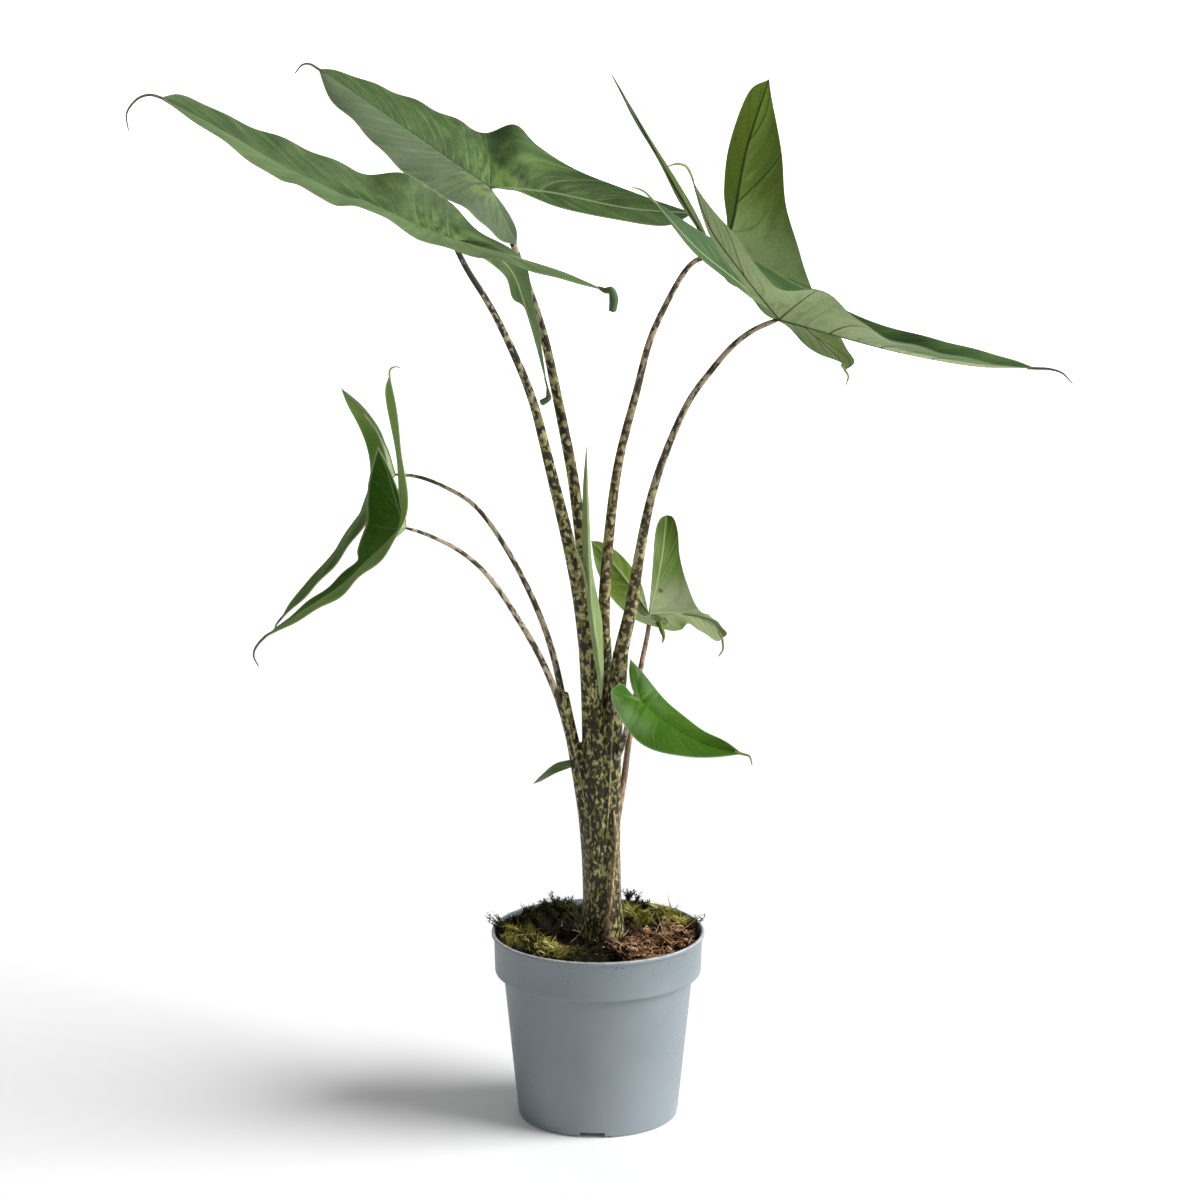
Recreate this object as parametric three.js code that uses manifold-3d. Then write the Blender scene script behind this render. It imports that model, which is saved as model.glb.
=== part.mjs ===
import * as THREE from 'three';
import { mergeVertices } from 'three/addons/utils/BufferGeometryUtils.js';
import Module from 'manifold-3d';

// A potted arrow-leaved aroid house plant at its real size, in millimetres with Z up.
// The origin is the middle of the pot's base. +X is the plant's right and -Y its front.
// Every curve is a short list of points in space, written as [x, y, z].

// Gap between pieces that touch.
const CLEARANCE = 0.3;

// Pot, a 19 cm nursery pot with a stacking band under a thin lip.
const POT_HEIGHT = 170;
const RIM_RADIUS = 95;
const LIP_HEIGHT = 3;
const LIP_WIDTH = 2;
const LIP_ROUNDING = 0.8;
const BAND_RADIUS = 93;
const BAND_HEIGHT = 37;
const BAND_STEP = 2;
const BODY_TOP_RADIUS = 84.5;
const FOOT_RADIUS = 71.5;
const FOOT_ROUNDING = 2.5;
const WALL = 1.6;
const FLOOR_BOTTOM = 6.5;
const FLOOR_TOP = 8.5;
const FOOT_WALL = 4;
const BASE_PAD_RADIUS = 20;
const POT_SEGMENTS = 48;
const NOTCH_COUNT = 4;
const NOTCH_WIDTH = 22;
const NOTCH_HEIGHT = 5;
const NOTCH_STEP_WIDTH = 34;
const NOTCH_STEP_HEIGHT = 1.6;
const NOTCH_TURN = -Math.PI / 2 - 0.07;
const NOTCH_REACH = 24;
const DRAIN_HOLE_COUNT = 6;
const DRAIN_HOLE_RADIUS = 4.5;
const DRAIN_CIRCLE_RADIUS = 44;
const DRAIN_CUT_LENGTH = 30;

// Soil and what lies on it. Angles run from +X towards +Y, in degrees. A sprig is written as
// [angle, distance, height], with the first two at its head.
const SOIL_LEVEL = 158;
const SOIL_MOUND = 8;
const SOIL_MOUND_RADIUS = 42;
const SOIL_LUMP = 1.6;
const SOIL_SEGMENTS = 24;
const SOIL_RINGS = 5;
const SOIL_EDGE_GAP = 0.4;
const STEM_X = 4;
const MAT_ROWS = 5;
const MAT_LIFT = 0.8;
const MAT_BOTTOM = 150;
const TUFT_ROOT = 2;
const TUFT_OUTER_LIMIT = 88;
const TUFT_INNER_LIMIT = 30;
const SPRIG_RADII = [0.9, 0.8, 0.5];
const SPRIG_LEAVES = 3;
const SPRIG_LEAF_LENGTH = 4;
const SPRIG_LEAF_RISE = 2.5;
const SPRIG_LEAF_RADII = [0.6, 1.3, 0.4];
const MATS = [
  {
    name: 'moss_left', material: 'moss', from: 98, to: 276, inner: 48, outer: 89, thickness: 5.5,
    columns: 16, tufts: 17, tuftLength: 11, tuftRadius: 1.3, lean: 0.9,
    sprigs: [[104, 82, 21], [121, 80, 19], [170, 84, 24]],
  },
  {
    name: 'moss_back', material: 'moss', from: 14, to: 80, inner: 46, outer: 88, thickness: 5,
    columns: 7, tufts: 6, tuftLength: 10, tuftRadius: 1.3, lean: 0.9,
    sprigs: [[63, 84, 22], [18, 85, 18]],
  },
  {
    name: 'coir_fibre', material: 'coir', from: 286, to: 370, inner: 31, outer: 88, thickness: 6.5,
    columns: 9, tufts: 20, tuftLength: 19, tuftRadius: 1.1, lean: 2.4, sprigs: [],
  },
];

// Stem of clasping sheaths. Each sheath is a round rod from its free end down to the corm.
const SHEATHS = [
  {
    path: [[-9, -11, 432], [-5, -9, 376], [-2, -8, 300], [0, -7, 230], [1, -5, 165]],
    radii: [8, 10, 12, 12.5, 13],
  },
  {
    path: [[-6, 10, 436], [-4, 8, 390], [-1, 8, 320], [1, 7, 240], [1, 6, 165]],
    radii: [7, 8.5, 10.5, 12, 13],
  },
  {
    path: [[5, 9, 436], [6, 8, 395], [8, 7, 330], [9, 7, 250], [9, 6, 165]],
    radii: [6.6, 8, 9.5, 11, 12.5],
  },
  {
    path: [[20, -12, 428], [17, -10, 395], [13, -8, 360], [10, -7, 300], [9, -6, 230], [10, -5, 165]],
    radii: [6.8, 8.4, 9.6, 10.5, 11, 13],
  },
  {
    path: [[-32, -7, 389], [-28, -8, 371], [-22, -8, 345], [-16, -7, 312], [-9, -5, 270], [-3, -4, 220],
      [1, -3, 165]],
    radii: [6.2, 5.6, 6.3, 7.4, 9.5, 12, 15],
  },
  {
    path: [[11, -11, 282], [12, -14, 240], [11, -14, 200], [9, -13, 165]],
    radii: [5.4, 7, 8.5, 10],
  },
];
const SHEATH_STEPS = 8;
const SHEATH_SIDES = 10;
const CORM = { path: [[4, 0, 196], [4, 0, 170], [4, 0, 145], [4, 0, 120]], radii: [17, 20, 21, 15] };

// Leaf stalks, each from its blade down into its sheath. The first steps, as many as its neck
// says, belong to the blade and taper to the end radius inside it.
const STALK_SIDES = 8;
const NECK_END_RADIUS = 0.8;
const STALKS = [
  {
    leaf: 'leaf_upper_left_front', name: 'petiole_upper_left_front', steps: 19, neck: 1,
    path: [[-122, -55, 793], [-110, -49, 766], [-95, -44, 743], [-75, -37, 702], [-56, -31, 654],
      [-43, -26, 601], [-32, -22, 555], [-23, -19, 516], [-15, -15, 474], [-9, -11, 426], [-7, -10, 400]],
    radii: [2.4, 2.9, 3.6, 4.5, 5.6, 6.9, 8],
  },
  {
    leaf: 'leaf_upper_left_back', name: 'petiole_upper_left_back', steps: 19, neck: 1,
    path: [[-95, 70, 825], [-84, 63, 801], [-72, 56, 772], [-60, 49, 738], [-47, 42, 698], [-37, 35, 652],
      [-29, 30, 613], [-22, 25, 577], [-17, 20, 539], [-11, 15, 490], [-6, 10, 430], [-5, 9, 405]],
    radii: [2.4, 3, 3.9, 4.6, 5.2, 5.8, 6.4],
  },
  {
    leaf: 'leaf_upper_right_back', name: 'petiole_upper_right_back', steps: 20, neck: 3,
    path: [[102, 20, 769], [87, 20, 772], [73, 22, 755], [53, 22, 717], [43, 21, 692], [34, 20, 654],
      [26, 19, 625], [17, 17, 586], [11, 15, 540], [6, 12, 481], [5, 9, 433], [6, 8, 405]],
    radii: [2.2, 2.7, 3.3, 3.9, 4.5, 5.2, 6],
  },
  {
    leaf: 'leaf_upper_right_front', name: 'petiole_upper_right_front', steps: 20, neck: 3,
    path: [[153, -60, 727], [133, -56, 719], [113, -52, 703], [93, -46, 677], [78, -42, 656],
      [60, -36, 614], [46, -30, 570], [36, -24, 518], [29, -18, 469], [20, -12, 428], [17, -10, 405]],
    radii: [2.2, 2.6, 3, 3.6, 4.4, 5.6, 6.8],
  },
  {
    leaf: 'leaf_left_back', name: 'petiole_left_back', steps: 17, neck: 2,
    path: [[-179, 38, 576], [-157, 35, 575], [-130, 31, 564], [-107, 26, 550], [-82, 20, 516],
      [-60, 12, 476], [-43, 5, 434], [-33, -3, 395], [-30, -4, 375]],
    radii: [1.5, 2, 2.4, 2.8, 3.2],
  },
  {
    leaf: 'leaf_left_front', name: 'petiole_left_front', steps: 16, neck: 1,
    path: [[-165, -56, 547], [-150, -52, 542], [-118, -44, 524], [-93, -37, 499], [-69, -28, 460],
      [-51, -20, 426], [-37, -11, 391], [-31, -9, 372]],
    radii: [1.5, 2, 2.4, 2.8, 3.2],
  },
  {
    leaf: 'leaf_right_middle', name: 'petiole_right_middle', steps: 12, neck: 2,
    path: [[45, 30, 452], [46, 30, 444], [42, 28, 425], [37, 24, 400], [32, 19, 370], [27, 14, 338],
      [23, 9, 306], [17, 5, 270]],
    radii: [1.9, 2.5, 2.8, 3.1],
  },
  {
    leaf: 'leaf_front_small', name: 'petiole_front_small', steps: 8, neck: 2,
    path: [[37, -42, 390], [33, -39, 386], [29, -34, 378], [26, -27, 366], [22, -18, 348], [15, -10, 325]],
    radii: [1.8, 2.3, 2.8, 3],
  },
];

// Leaf blades. A blade has a midrib from the stalk to the base of its curled drip tip, and two
// halves that each carry one back lobe. The outer edge of a half runs from the drip tip round
// to the lobe's tip, and its point number "shoulder" lies beside the stalk. The costa is the
// lobe's own rib, and the inner edge bounds the notch between the lobes. "upper" points roughly
// to the side that the top of the blade faces. A curl is a thin rolled end past a tip, and a
// spur is a small tooth on an outer edge.
const BLADE_THICKNESS = 0.8;
const RIB_HEIGHT = 1.1;
const DRIP_RADII = [1.3, 1.2, 0.9, 0.5];
const CURL_STEPS = 5;
const CURL_SIDES = 5;
const CURL_ROOT = 7;
const WAVE_FULL_WIDTH = 12;
const LEAVES = [
  {
    name: 'leaf_upper_left_front', upper: [0, -0.2, 1], rows: 15, columns: 3, wave: 1.6, waves: 8,
    midrib: [[-122, -55, 793], [-172, -61, 814], [-244, -72, 847], [-320, -82, 892], [-361, -88, 915]],
    drip: {
      path: [[-370, -90, 917], [-380, -91, 913], [-388, -92, 902], [-387, -92, 888]],
      radii: DRIP_RADII,
    },
    halves: [
      {
        shoulder: 8, bulge: 0.06,
        outer: [[-339, -104, 902], [-299, -120, 877], [-263, -128, 852], [-242, -126, 847],
          [-217, -131, 830], [-194, -126, 830], [-161, -122, 810], [-125, -115, 793],
          [-84, -118, 784], [-32, -120, 769]],
        costa: [[-74, -85, 784], [-30, -105, 773]],
        inner: [[-94, -70, 793], [-55, -90, 778], [-15, -108, 766]],
        tip: [6, -118, 759],
        curl: { path: [[11, -119, 759], [13, -119, 752], [12, -119, 742]], radii: [1.2, 3, 4, 3.2] },
      },
      {
        shoulder: 6, bulge: -0.08,
        outer: [[-342, -72, 915], [-301, -45, 892], [-250, -24, 869], [-201, -9, 846], [-159, -5, 842],
          [-128, 0, 819], [-103, 4, 796], [-64, 4, 768], [-55, 0, 730], [-49, -3, 697]],
        costa: [[-79, -24, 770], [-61, -12, 727]],
        inner: [[-101, -40, 779], [-79, -26, 759], [-73, -18, 739], [-62, -14, 729], [-53, -9, 698]],
        tip: [-44, -6, 662],
        curl: { path: [[-43, -6, 656], [-43, -7, 651], [-49, -8, 647]], radii: [0.9, 1, 2.6, 3] },
      },
    ],
  },
  {
    name: 'leaf_upper_left_back', upper: [0, -0.4, 1], rows: 15, columns: 3, wave: 1.4, waves: 6,
    midrib: [[-95, 70, 825], [-139, 70, 856], [-192, 72, 893], [-230, 74, 919], [-243, 75, 927]],
    drip: { path: [[-250, 75, 931], [-257, 75, 930], [-263, 75, 923]], radii: DRIP_RADII },
    halves: [
      {
        shoulder: 5, bulge: 0.08,
        outer: [[-232, 62, 902], [-209, 48, 882], [-178, 30, 852], [-147, 20, 830], [-123, 14, 818],
          [-100, 14, 801], [-85, 20, 785]],
        costa: [[-87, 55, 809], [-77, 38, 791]],
        inner: [[-81, 60, 808], [-71, 42, 792]],
        tip: [-70, 25, 780],
      },
      {
        shoulder: 5, bulge: 0.06,
        outer: [[-225, 84, 924], [-188, 100, 909], [-151, 116, 892], [-126, 125, 879], [-100, 132, 867],
          [-74, 134, 873], [-53, 128, 855], [-9, 115, 831], [43, 100, 813]],
        costa: [[-42, 82, 819], [24, 86, 805]],
        inner: [[-73, 74, 822], [-34, 72, 807], [17, 74, 796], [59, 80, 790]],
        tip: [84, 88, 800],
      },
    ],
  },
  {
    name: 'leaf_upper_right_back', upper: [0.2, 0.6, 0.7], rows: 15, columns: 3, wave: 1.2, waves: 6,
    midrib: [[102, 20, 769], [142, 58, 735], [185, 95, 697], [213, 117, 670], [222, 125, 655]],
    drip: { path: [[225, 127, 649], [223, 128, 641]], radii: DRIP_RADII },
    halves: [
      {
        shoulder: 5, bulge: 0.05,
        outer: [[219, 124, 662], [197, 125, 671], [166, 112, 697], [125, 86, 733], [100, 62, 764],
          [84, 45, 797], [66, 32, 826], [39, 8, 874]],
        costa: [[70, 5, 824], [44, -10, 871]],
        inner: [[85, 20, 806], [67, 14, 837], [44, -2, 874]],
        tip: [11, -25, 930],
      },
      {
        shoulder: 4, bulge: 0.06,
        outer: [[230, 122, 663], [221, 112, 679], [208, 98, 700], [189, 72, 734], [173, 45, 777],
          [162, 22, 814], [157, 4, 859], [147, -12, 907]],
        costa: [[115, 8, 799], [126, -8, 864]],
        inner: [[111, 16, 795], [108, 12, 828], [112, 4, 868], [127, -12, 913]],
        tip: [144, -20, 925],
      },
    ],
  },
  {
    name: 'leaf_upper_right_front', upper: [0, 0.3, 1], rows: 15, columns: 3, wave: 1.2, waves: 7,
    midrib: [[153, -60, 727], [196, -76, 717], [252, -100, 705], [311, -130, 698], [359, -150, 699]],
    drip: { path: [[370, -154, 699], [380, -157, 696], [388, -160, 688]], radii: DRIP_RADII },
    halves: [
      {
        shoulder: 5, bulge: 0.05,
        outer: [[329, -150, 702], [280, -146, 712], [233, -134, 724], [208, -118, 741], [182, -104, 758],
          [147, -97, 759], [118, -88, 796], [98, -82, 818], [82, -76, 839]],
        costa: [[123, -69, 765], [94, -71, 805]],
        inner: [[129, -62, 749], [99, -64, 789], [88, -67, 813]],
        tip: [77, -73, 851],
        curl: { path: [[73, -74, 857], [66, -75, 859], [58, -75, 857]], radii: [1, 1.3, 1.2, 0.6] },
      },
      {
        shoulder: 5, bulge: 0.05,
        outer: [[336, -130, 705], [284, -106, 716], [236, -84, 726], [211, -72, 735], [179, -48, 749],
          [138, -25, 769], [94, -12, 791], [67, -15, 809]],
        costa: [[120, -46, 755], [82, -35, 785]],
        inner: [[118, -54, 753], [83, -46, 780], [63, -36, 803]],
        tip: [45, -22, 825],
        curl: { path: [[40, -22, 830], [34, -22, 833], [29, -22, 834]], radii: [1, 1.2, 1, 0.6] },
      },
    ],
  },
  {
    name: 'leaf_left_front', upper: [-0.7, -0.2, 0.6], rows: 12, columns: 3, wave: 1.2, waves: 5,
    midrib: [[-165, -56, 547], [-188, -68, 528], [-215, -80, 504], [-249, -92, 483], [-283, -100, 461]],
    drip: { path: [[-290, -102, 453], [-292, -102, 445], [-288, -102, 436]], radii: DRIP_RADII },
    halves: [
      {
        shoulder: 5, bulge: 0.06,
        outer: [[-258, -114, 476], [-219, -122, 500], [-199, -124, 518], [-180, -120, 535],
          [-167, -114, 553], [-160, -108, 577], [-165, -96, 624], [-169, -89, 655]],
        costa: [[-166, -68, 582], [-170, -78, 636]],
        inner: [[-169, -62, 572], [-171, -66, 612], [-179, -76, 664]],
        tip: [-175, -82, 684],
        curl: { path: [[-174, -82, 688], [-170, -82, 690], [-166, -82, 689]], radii: [0.9, 1.1, 0.9, 0.5] },
      },
      {
        shoulder: 5, bulge: -0.1,
        outer: [[-261, -72, 475], [-228, -50, 498], [-209, -36, 513], [-208, -31, 524], [-200, -24, 543],
          [-200, -21, 563], [-195, -24, 593]],
        costa: [[-173, -46, 569], [-180, -38, 592]],
        inner: [[-167, -55, 567], [-172, -50, 582], [-182, -38, 602]],
        tip: [-189, -28, 612],
      },
    ],
  },
  {
    name: 'leaf_left_back', upper: [-0.6, -0.1, 0.7], rows: 12, columns: 3, wave: 1, waves: 5,
    midrib: [[-179, 38, 576], [-204, 29, 545], [-231, 20, 506], [-258, 10, 476], [-278, 2, 454]],
    drip: { path: [[-282, 1, 449], [-284, 0, 443]], radii: DRIP_RADII },
    halves: [
      {
        shoulder: 4, bulge: 0.05,
        outer: [[-254, -14, 478], [-226, -24, 510], [-206, -22, 537], [-190, -16, 564], [-182, -10, 593],
          [-189, -2, 617]],
        costa: [[-185, 22, 601]],
        inner: [[-186, 30, 601], [-195, 24, 620]],
        tip: [-203, 10, 635],
      },
      {
        shoulder: 4, bulge: 0.05,
        outer: [[-266, 26, 471], [-239, 48, 497], [-218, 62, 526], [-205, 70, 552], [-203, 76, 575],
          [-208, 84, 601], [-223, 92, 629]],
        costa: [[-187, 58, 597], [-206, 76, 620]],
        inner: [[-184, 50, 587], [-192, 64, 610], [-209, 82, 630]],
        tip: [-229, 96, 644],
      },
    ],
  },
  {
    name: 'leaf_right_middle', upper: [0.3, 0.8, 0.5], rows: 10, columns: 3, wave: 1, waves: 4,
    midrib: [[45, 30, 452], [66, 40, 451], [88, 52, 446], [104, 60, 435], [111, 64, 422]],
    drip: { path: [[112, 65, 412], [108, 66, 405]], radii: DRIP_RADII },
    halves: [
      {
        shoulder: 4, bulge: 0.06,
        outer: [[105, 56, 422], [82, 38, 441], [73, 30, 438], [57, 24, 440], [33, 22, 449], [12, 26, 468],
          [-1, 31, 492]],
        costa: [[30, 32, 475], [12, 35, 498]],
        inner: [[37, 37, 481], [21, 39, 503], [4, 38, 515]],
        tip: [-6, 36, 517],
        spur: {
          root: [54, 27, 447],
          path: [[56, 24, 440], [58, 22, 434], [57, 21, 428]],
          radii: [2.6, 2.2, 0.5],
        },
      },
      {
        shoulder: 3, bulge: 0.06,
        outer: [[115, 62, 428], [101, 59, 443], [88, 58, 452], [80, 62, 471], [73, 62, 498], [71, 64, 520],
          [67, 66, 532]],
        costa: [[51, 43, 473], [57, 57, 502]],
        inner: [[47, 38, 472], [49, 47, 497], [51, 60, 520], [55, 65, 531]],
        tip: [61, 68, 534],
      },
    ],
  },
  {
    name: 'leaf_front_small', upper: [0, -0.6, 0.8], rows: 10, columns: 3, wave: 0.5, waves: 3,
    midrib: [[37, -42, 390], [61, -50, 371], [93, -60, 356], [125, -67, 350]],
    drip: { path: [[131, -68, 348], [133, -69, 341]], radii: DRIP_RADII },
    halves: [
      {
        shoulder: 5, bulge: 0.1,
        outer: [[101, -74, 349], [77, -79, 351], [53, -80, 355], [36, -77, 363], [23, -73, 377],
          [13, -67, 394]],
        costa: [[24, -50, 397]],
        inner: [[29, -44, 398], [20, -52, 409]],
        tip: [11, -61, 405],
      },
      {
        shoulder: 4, bulge: 0.08,
        outer: [[110, -58, 359], [89, -46, 367], [67, -35, 382], [51, -28, 397], [38, -24, 413]],
        costa: [[32, -32, 406]],
        inner: [[30, -37, 400], [27, -29, 413]],
        tip: [28, -24, 424],
      },
    ],
  },
];

// Narrow leaves without lobes, each a blade between a left edge, a middle line and a right edge.
const NARROW_COLUMNS = 1;
const NARROW_LEAVES = [
  {
    name: 'young_leaf', material: 'youngLeaf', rows: 12, upper: [0.3, -1, 0],
    left: [[0, -13, 385], [0, -19, 402], [-4, -22, 430], [-9, -24, 470], [-13, -25, 515],
      [-13, -26, 570], [-10, -27, 613]],
    middle: [[1, -14, 385], [2, -20, 402], [0, -27, 430], [-5, -31, 465], [-8, -32, 515],
      [-9.5, -31, 570], [-10, -27, 613]],
    right: [[3, -14, 385], [4.5, -20, 402], [4.5, -21, 425], [3, -23, 460], [-5, -26, 505],
      [-8, -27, 560], [-10, -27, 613]],
    flap: {
      left: [[-7, -26, 455], [-9, -27, 480], [-14, -29, 505], [-22, -28, 529]],
      middle: [[-6, -27, 455], [-7, -29, 480], [-12, -30, 505], [-22, -28, 529]],
      right: [[-4, -27, 455], [-5, -28, 480], [-11, -28, 505], [-22, -28, 529]],
    },
  },
  {
    name: 'scale_leaf', material: 'leafDark', rows: 6, upper: [0, -0.6, 1],
    left: [[-24, -8, 322], [-38, -10, 317], [-50, -13, 311], [-57, -15, 309]],
    middle: [[-22, -8, 326], [-38, -8, 320], [-50, -12, 314], [-57, -15, 309]],
    right: [[-22, -6, 329], [-37, -5, 325], [-48, -9, 317], [-57, -15, 309]],
  },
];

const COLORS = {
  pot: { color: '#8c98a2', roughness: 0.55 },
  soil: { color: '#2e241c', roughness: 1 },
  moss: { color: '#77802c', roughness: 1 },
  coir: { color: '#6b3a22', roughness: 1 },
  stem: { color: '#6c6b3a', roughness: 0.6 },
  leafDark: { color: '#3f6a35', roughness: 0.45 },
  leafBright: { color: '#32751a', roughness: 0.35 },
  leafPale: { color: '#74945a', roughness: 0.5 },
  youngLeaf: { color: '#86ab5d', roughness: 0.5 },
};
const LEAF_MATERIAL = {
  leaf_front_small: 'leafBright',
  leaf_right_middle: 'leafPale',
};

const wasm = await Module();
wasm.setup();
const plant = new THREE.Group();
const vector = (p) => new THREE.Vector3(...p);

// Adds a solid to the plant as one named mesh.
function place(name, solid, look) {
  const mesh = solid.getMesh();
  const geometry = new THREE.BufferGeometry();
  geometry.setAttribute('position', new THREE.BufferAttribute(new Float32Array(mesh.vertProperties), 3));
  geometry.setIndex(new THREE.BufferAttribute(new Uint32Array(mesh.triVerts), 1));
  geometry.computeVertexNormals();
  const material = new THREE.MeshStandardMaterial({ ...COLORS[look], metalness: 0 });
  const node = new THREE.Mesh(geometry, material);
  node.name = name;
  plant.add(node);
}

// Solid of a closed list of triangles, each three vectors.
function solidOfTriangles(triangles) {
  const places = new Map();
  const vertices = [];
  const faces = [];
  const indexOf = (p) => {
    const key = `${p.x.toFixed(4)},${p.y.toFixed(4)},${p.z.toFixed(4)}`;
    if (!places.has(key)) {
      places.set(key, vertices.length / 3);
      vertices.push(p.x, p.y, p.z);
    }
    return places.get(key);
  };
  for (const triangle of triangles) {
    const [a, b, c] = triangle.map(indexOf);
    if (a !== b && b !== c && c !== a) faces.push(a, b, c);
  }
  const mesh = new wasm.Mesh({
    numProp: 3,
    vertProperties: new Float32Array(vertices),
    triVerts: new Uint32Array(faces),
  });
  return new wasm.Manifold(mesh);
}

// Solid of a three.js geometry.
function solidOfGeometry(geometry) {
  const bare = geometry.clone();
  bare.deleteAttribute('normal');
  bare.deleteAttribute('uv');
  const merged = mergeVertices(bare, 1e-4);
  const corner = (i) => new THREE.Vector3().fromBufferAttribute(merged.attributes.position, i);
  const index = merged.index.array;
  const triangles = [];
  for (let i = 0; i < index.length; i += 3) {
    triangles.push([corner(index[i]), corner(index[i + 1]), corner(index[i + 2])]);
  }
  return solidOfTriangles(triangles);
}

// The largest of the separate bodies of a solid.
function largestBody(solid) {
  return solid.decompose().reduce((best, body) => (body.volume() > best.volume() ? body : best));
}

const joined = (solids) => solids.reduce((sum, solid) => sum.add(solid));

// Points at equal distances along the smooth curve through the given points, from the point
// numbered first to the point numbered last.
function spaced(points, steps, first = 0, last = points.length - 1) {
  const curve = new THREE.CatmullRomCurve3(points.map(vector), false, 'catmullrom', 0.5);
  const fineSteps = 200;
  const fine = [];
  const distance = [0];
  for (let i = 0; i <= fineSteps; i++) {
    const knot = first + ((last - first) * i) / fineSteps;
    fine.push(curve.getPoint(knot / (points.length - 1)));
    if (i > 0) distance.push(distance[i - 1] + fine[i].distanceTo(fine[i - 1]));
  }
  const result = [];
  let k = 0;
  for (let i = 0; i <= steps; i++) {
    const wanted = (distance[fineSteps] * i) / steps;
    while (k < fineSteps - 1 && distance[k + 1] < wanted) k++;
    const share = (wanted - distance[k]) / (distance[k + 1] - distance[k]);
    result.push(fine[k].clone().lerp(fine[k + 1], THREE.MathUtils.clamp(share, 0, 1)));
  }
  return result;
}

// Value at a share from 0 to 1 along an evenly spread list of values.
function along(values, share) {
  const place = share * (values.length - 1);
  const i = Math.min(Math.floor(place), values.length - 2);
  return values[i] + (values[i + 1] - values[i]) * (place - i);
}

// Closed round rod through a list of vectors, with radii spread evenly along it. It is grown
// by a margin all round and at both ends.
function rod(points, radii, sides, margin = 0) {
  const centres = points.map((p) => p.clone());
  const count = centres.length;
  const tangents = centres.map((p, i) =>
    centres[Math.min(i + 1, count - 1)].clone().sub(centres[Math.max(i - 1, 0)]).normalize());
  centres[0].addScaledVector(tangents[0], -margin);
  centres[count - 1].addScaledVector(tangents[count - 1], margin);
  let side = new THREE.Vector3(0.31, -0.9, 0.3).cross(tangents[0]).normalize();
  const rings = centres.map((centre, i) => {
    side = side.clone().addScaledVector(tangents[i], -side.dot(tangents[i])).normalize();
    const other = tangents[i].clone().cross(side);
    const radius = along(radii, i / (count - 1)) + margin;
    return Array.from({ length: sides }, (unused, k) => {
      const turn = (2 * Math.PI * k) / sides;
      return centre.clone()
        .addScaledVector(side, radius * Math.cos(turn))
        .addScaledVector(other, radius * Math.sin(turn));
    });
  });
  const triangles = [];
  for (let k = 0; k < sides; k++) {
    const next = (k + 1) % sides;
    for (let i = 0; i < count - 1; i++) {
      triangles.push([rings[i][k], rings[i][next], rings[i + 1][next]]);
      triangles.push([rings[i][k], rings[i + 1][next], rings[i + 1][k]]);
    }
    triangles.push([centres[0], rings[0][next], rings[0][k]]);
    triangles.push([centres[count - 1], rings[count - 1][k], rings[count - 1][next]]);
  }
  return solidOfTriangles(triangles);
}

// Triangles of a strip between a spine and an edge, each a list of vectors. The strip swells
// by bulge times its width and waves at its edge, less where it is narrow. All triangles face
// the upper side, which is the side given by facing, 1 or -1, times the cross product of spine
// and width.
function strip(spine, edge, columns, facing, bulge, wave, waves) {
  const rows = spine.length - 1;
  const grid = spine.map((a, i) => {
    const tangent = spine[Math.min(i + 1, rows)].clone().sub(spine[Math.max(i - 1, 0)]);
    const across = edge[i].clone().sub(a);
    const normal = tangent.cross(across).multiplyScalar(facing);
    if (normal.length() > 1e-6) normal.normalize();
    const width = across.length();
    const fade = Math.min(1, width / WAVE_FULL_WIDTH) * Math.sin((Math.PI * i) / rows);
    return Array.from({ length: columns + 1 }, (unused, j) => {
      const share = j / columns;
      const rise = bulge * width * 4 * share * (1 - share)
        + wave * fade * share * share * Math.sin((2 * Math.PI * waves * i) / rows);
      return a.clone().addScaledVector(across, share).addScaledVector(normal, rise);
    });
  });
  const triangles = [];
  for (let i = 0; i < rows; i++) {
    for (let j = 0; j < columns; j++) {
      const a = grid[i][j];
      const b = grid[i + 1][j];
      const c = grid[i + 1][j + 1];
      const d = grid[i][j + 1];
      if (facing > 0) triangles.push([a, b, c], [a, c, d]);
      else triangles.push([a, c, b], [a, d, c]);
    }
  }
  return triangles;
}

// 1 or -1, so that facing times the cross product of spine and width points to the upper side.
function facingOf(spine, edge, upper) {
  const sum = new THREE.Vector3();
  for (let i = 1; i < spine.length; i++) {
    const step = spine[i].clone().sub(spine[i - 1]);
    sum.add(step.cross(edge[i].clone().sub(spine[i])));
  }
  return Math.sign(sum.dot(vector(upper)));
}

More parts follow.
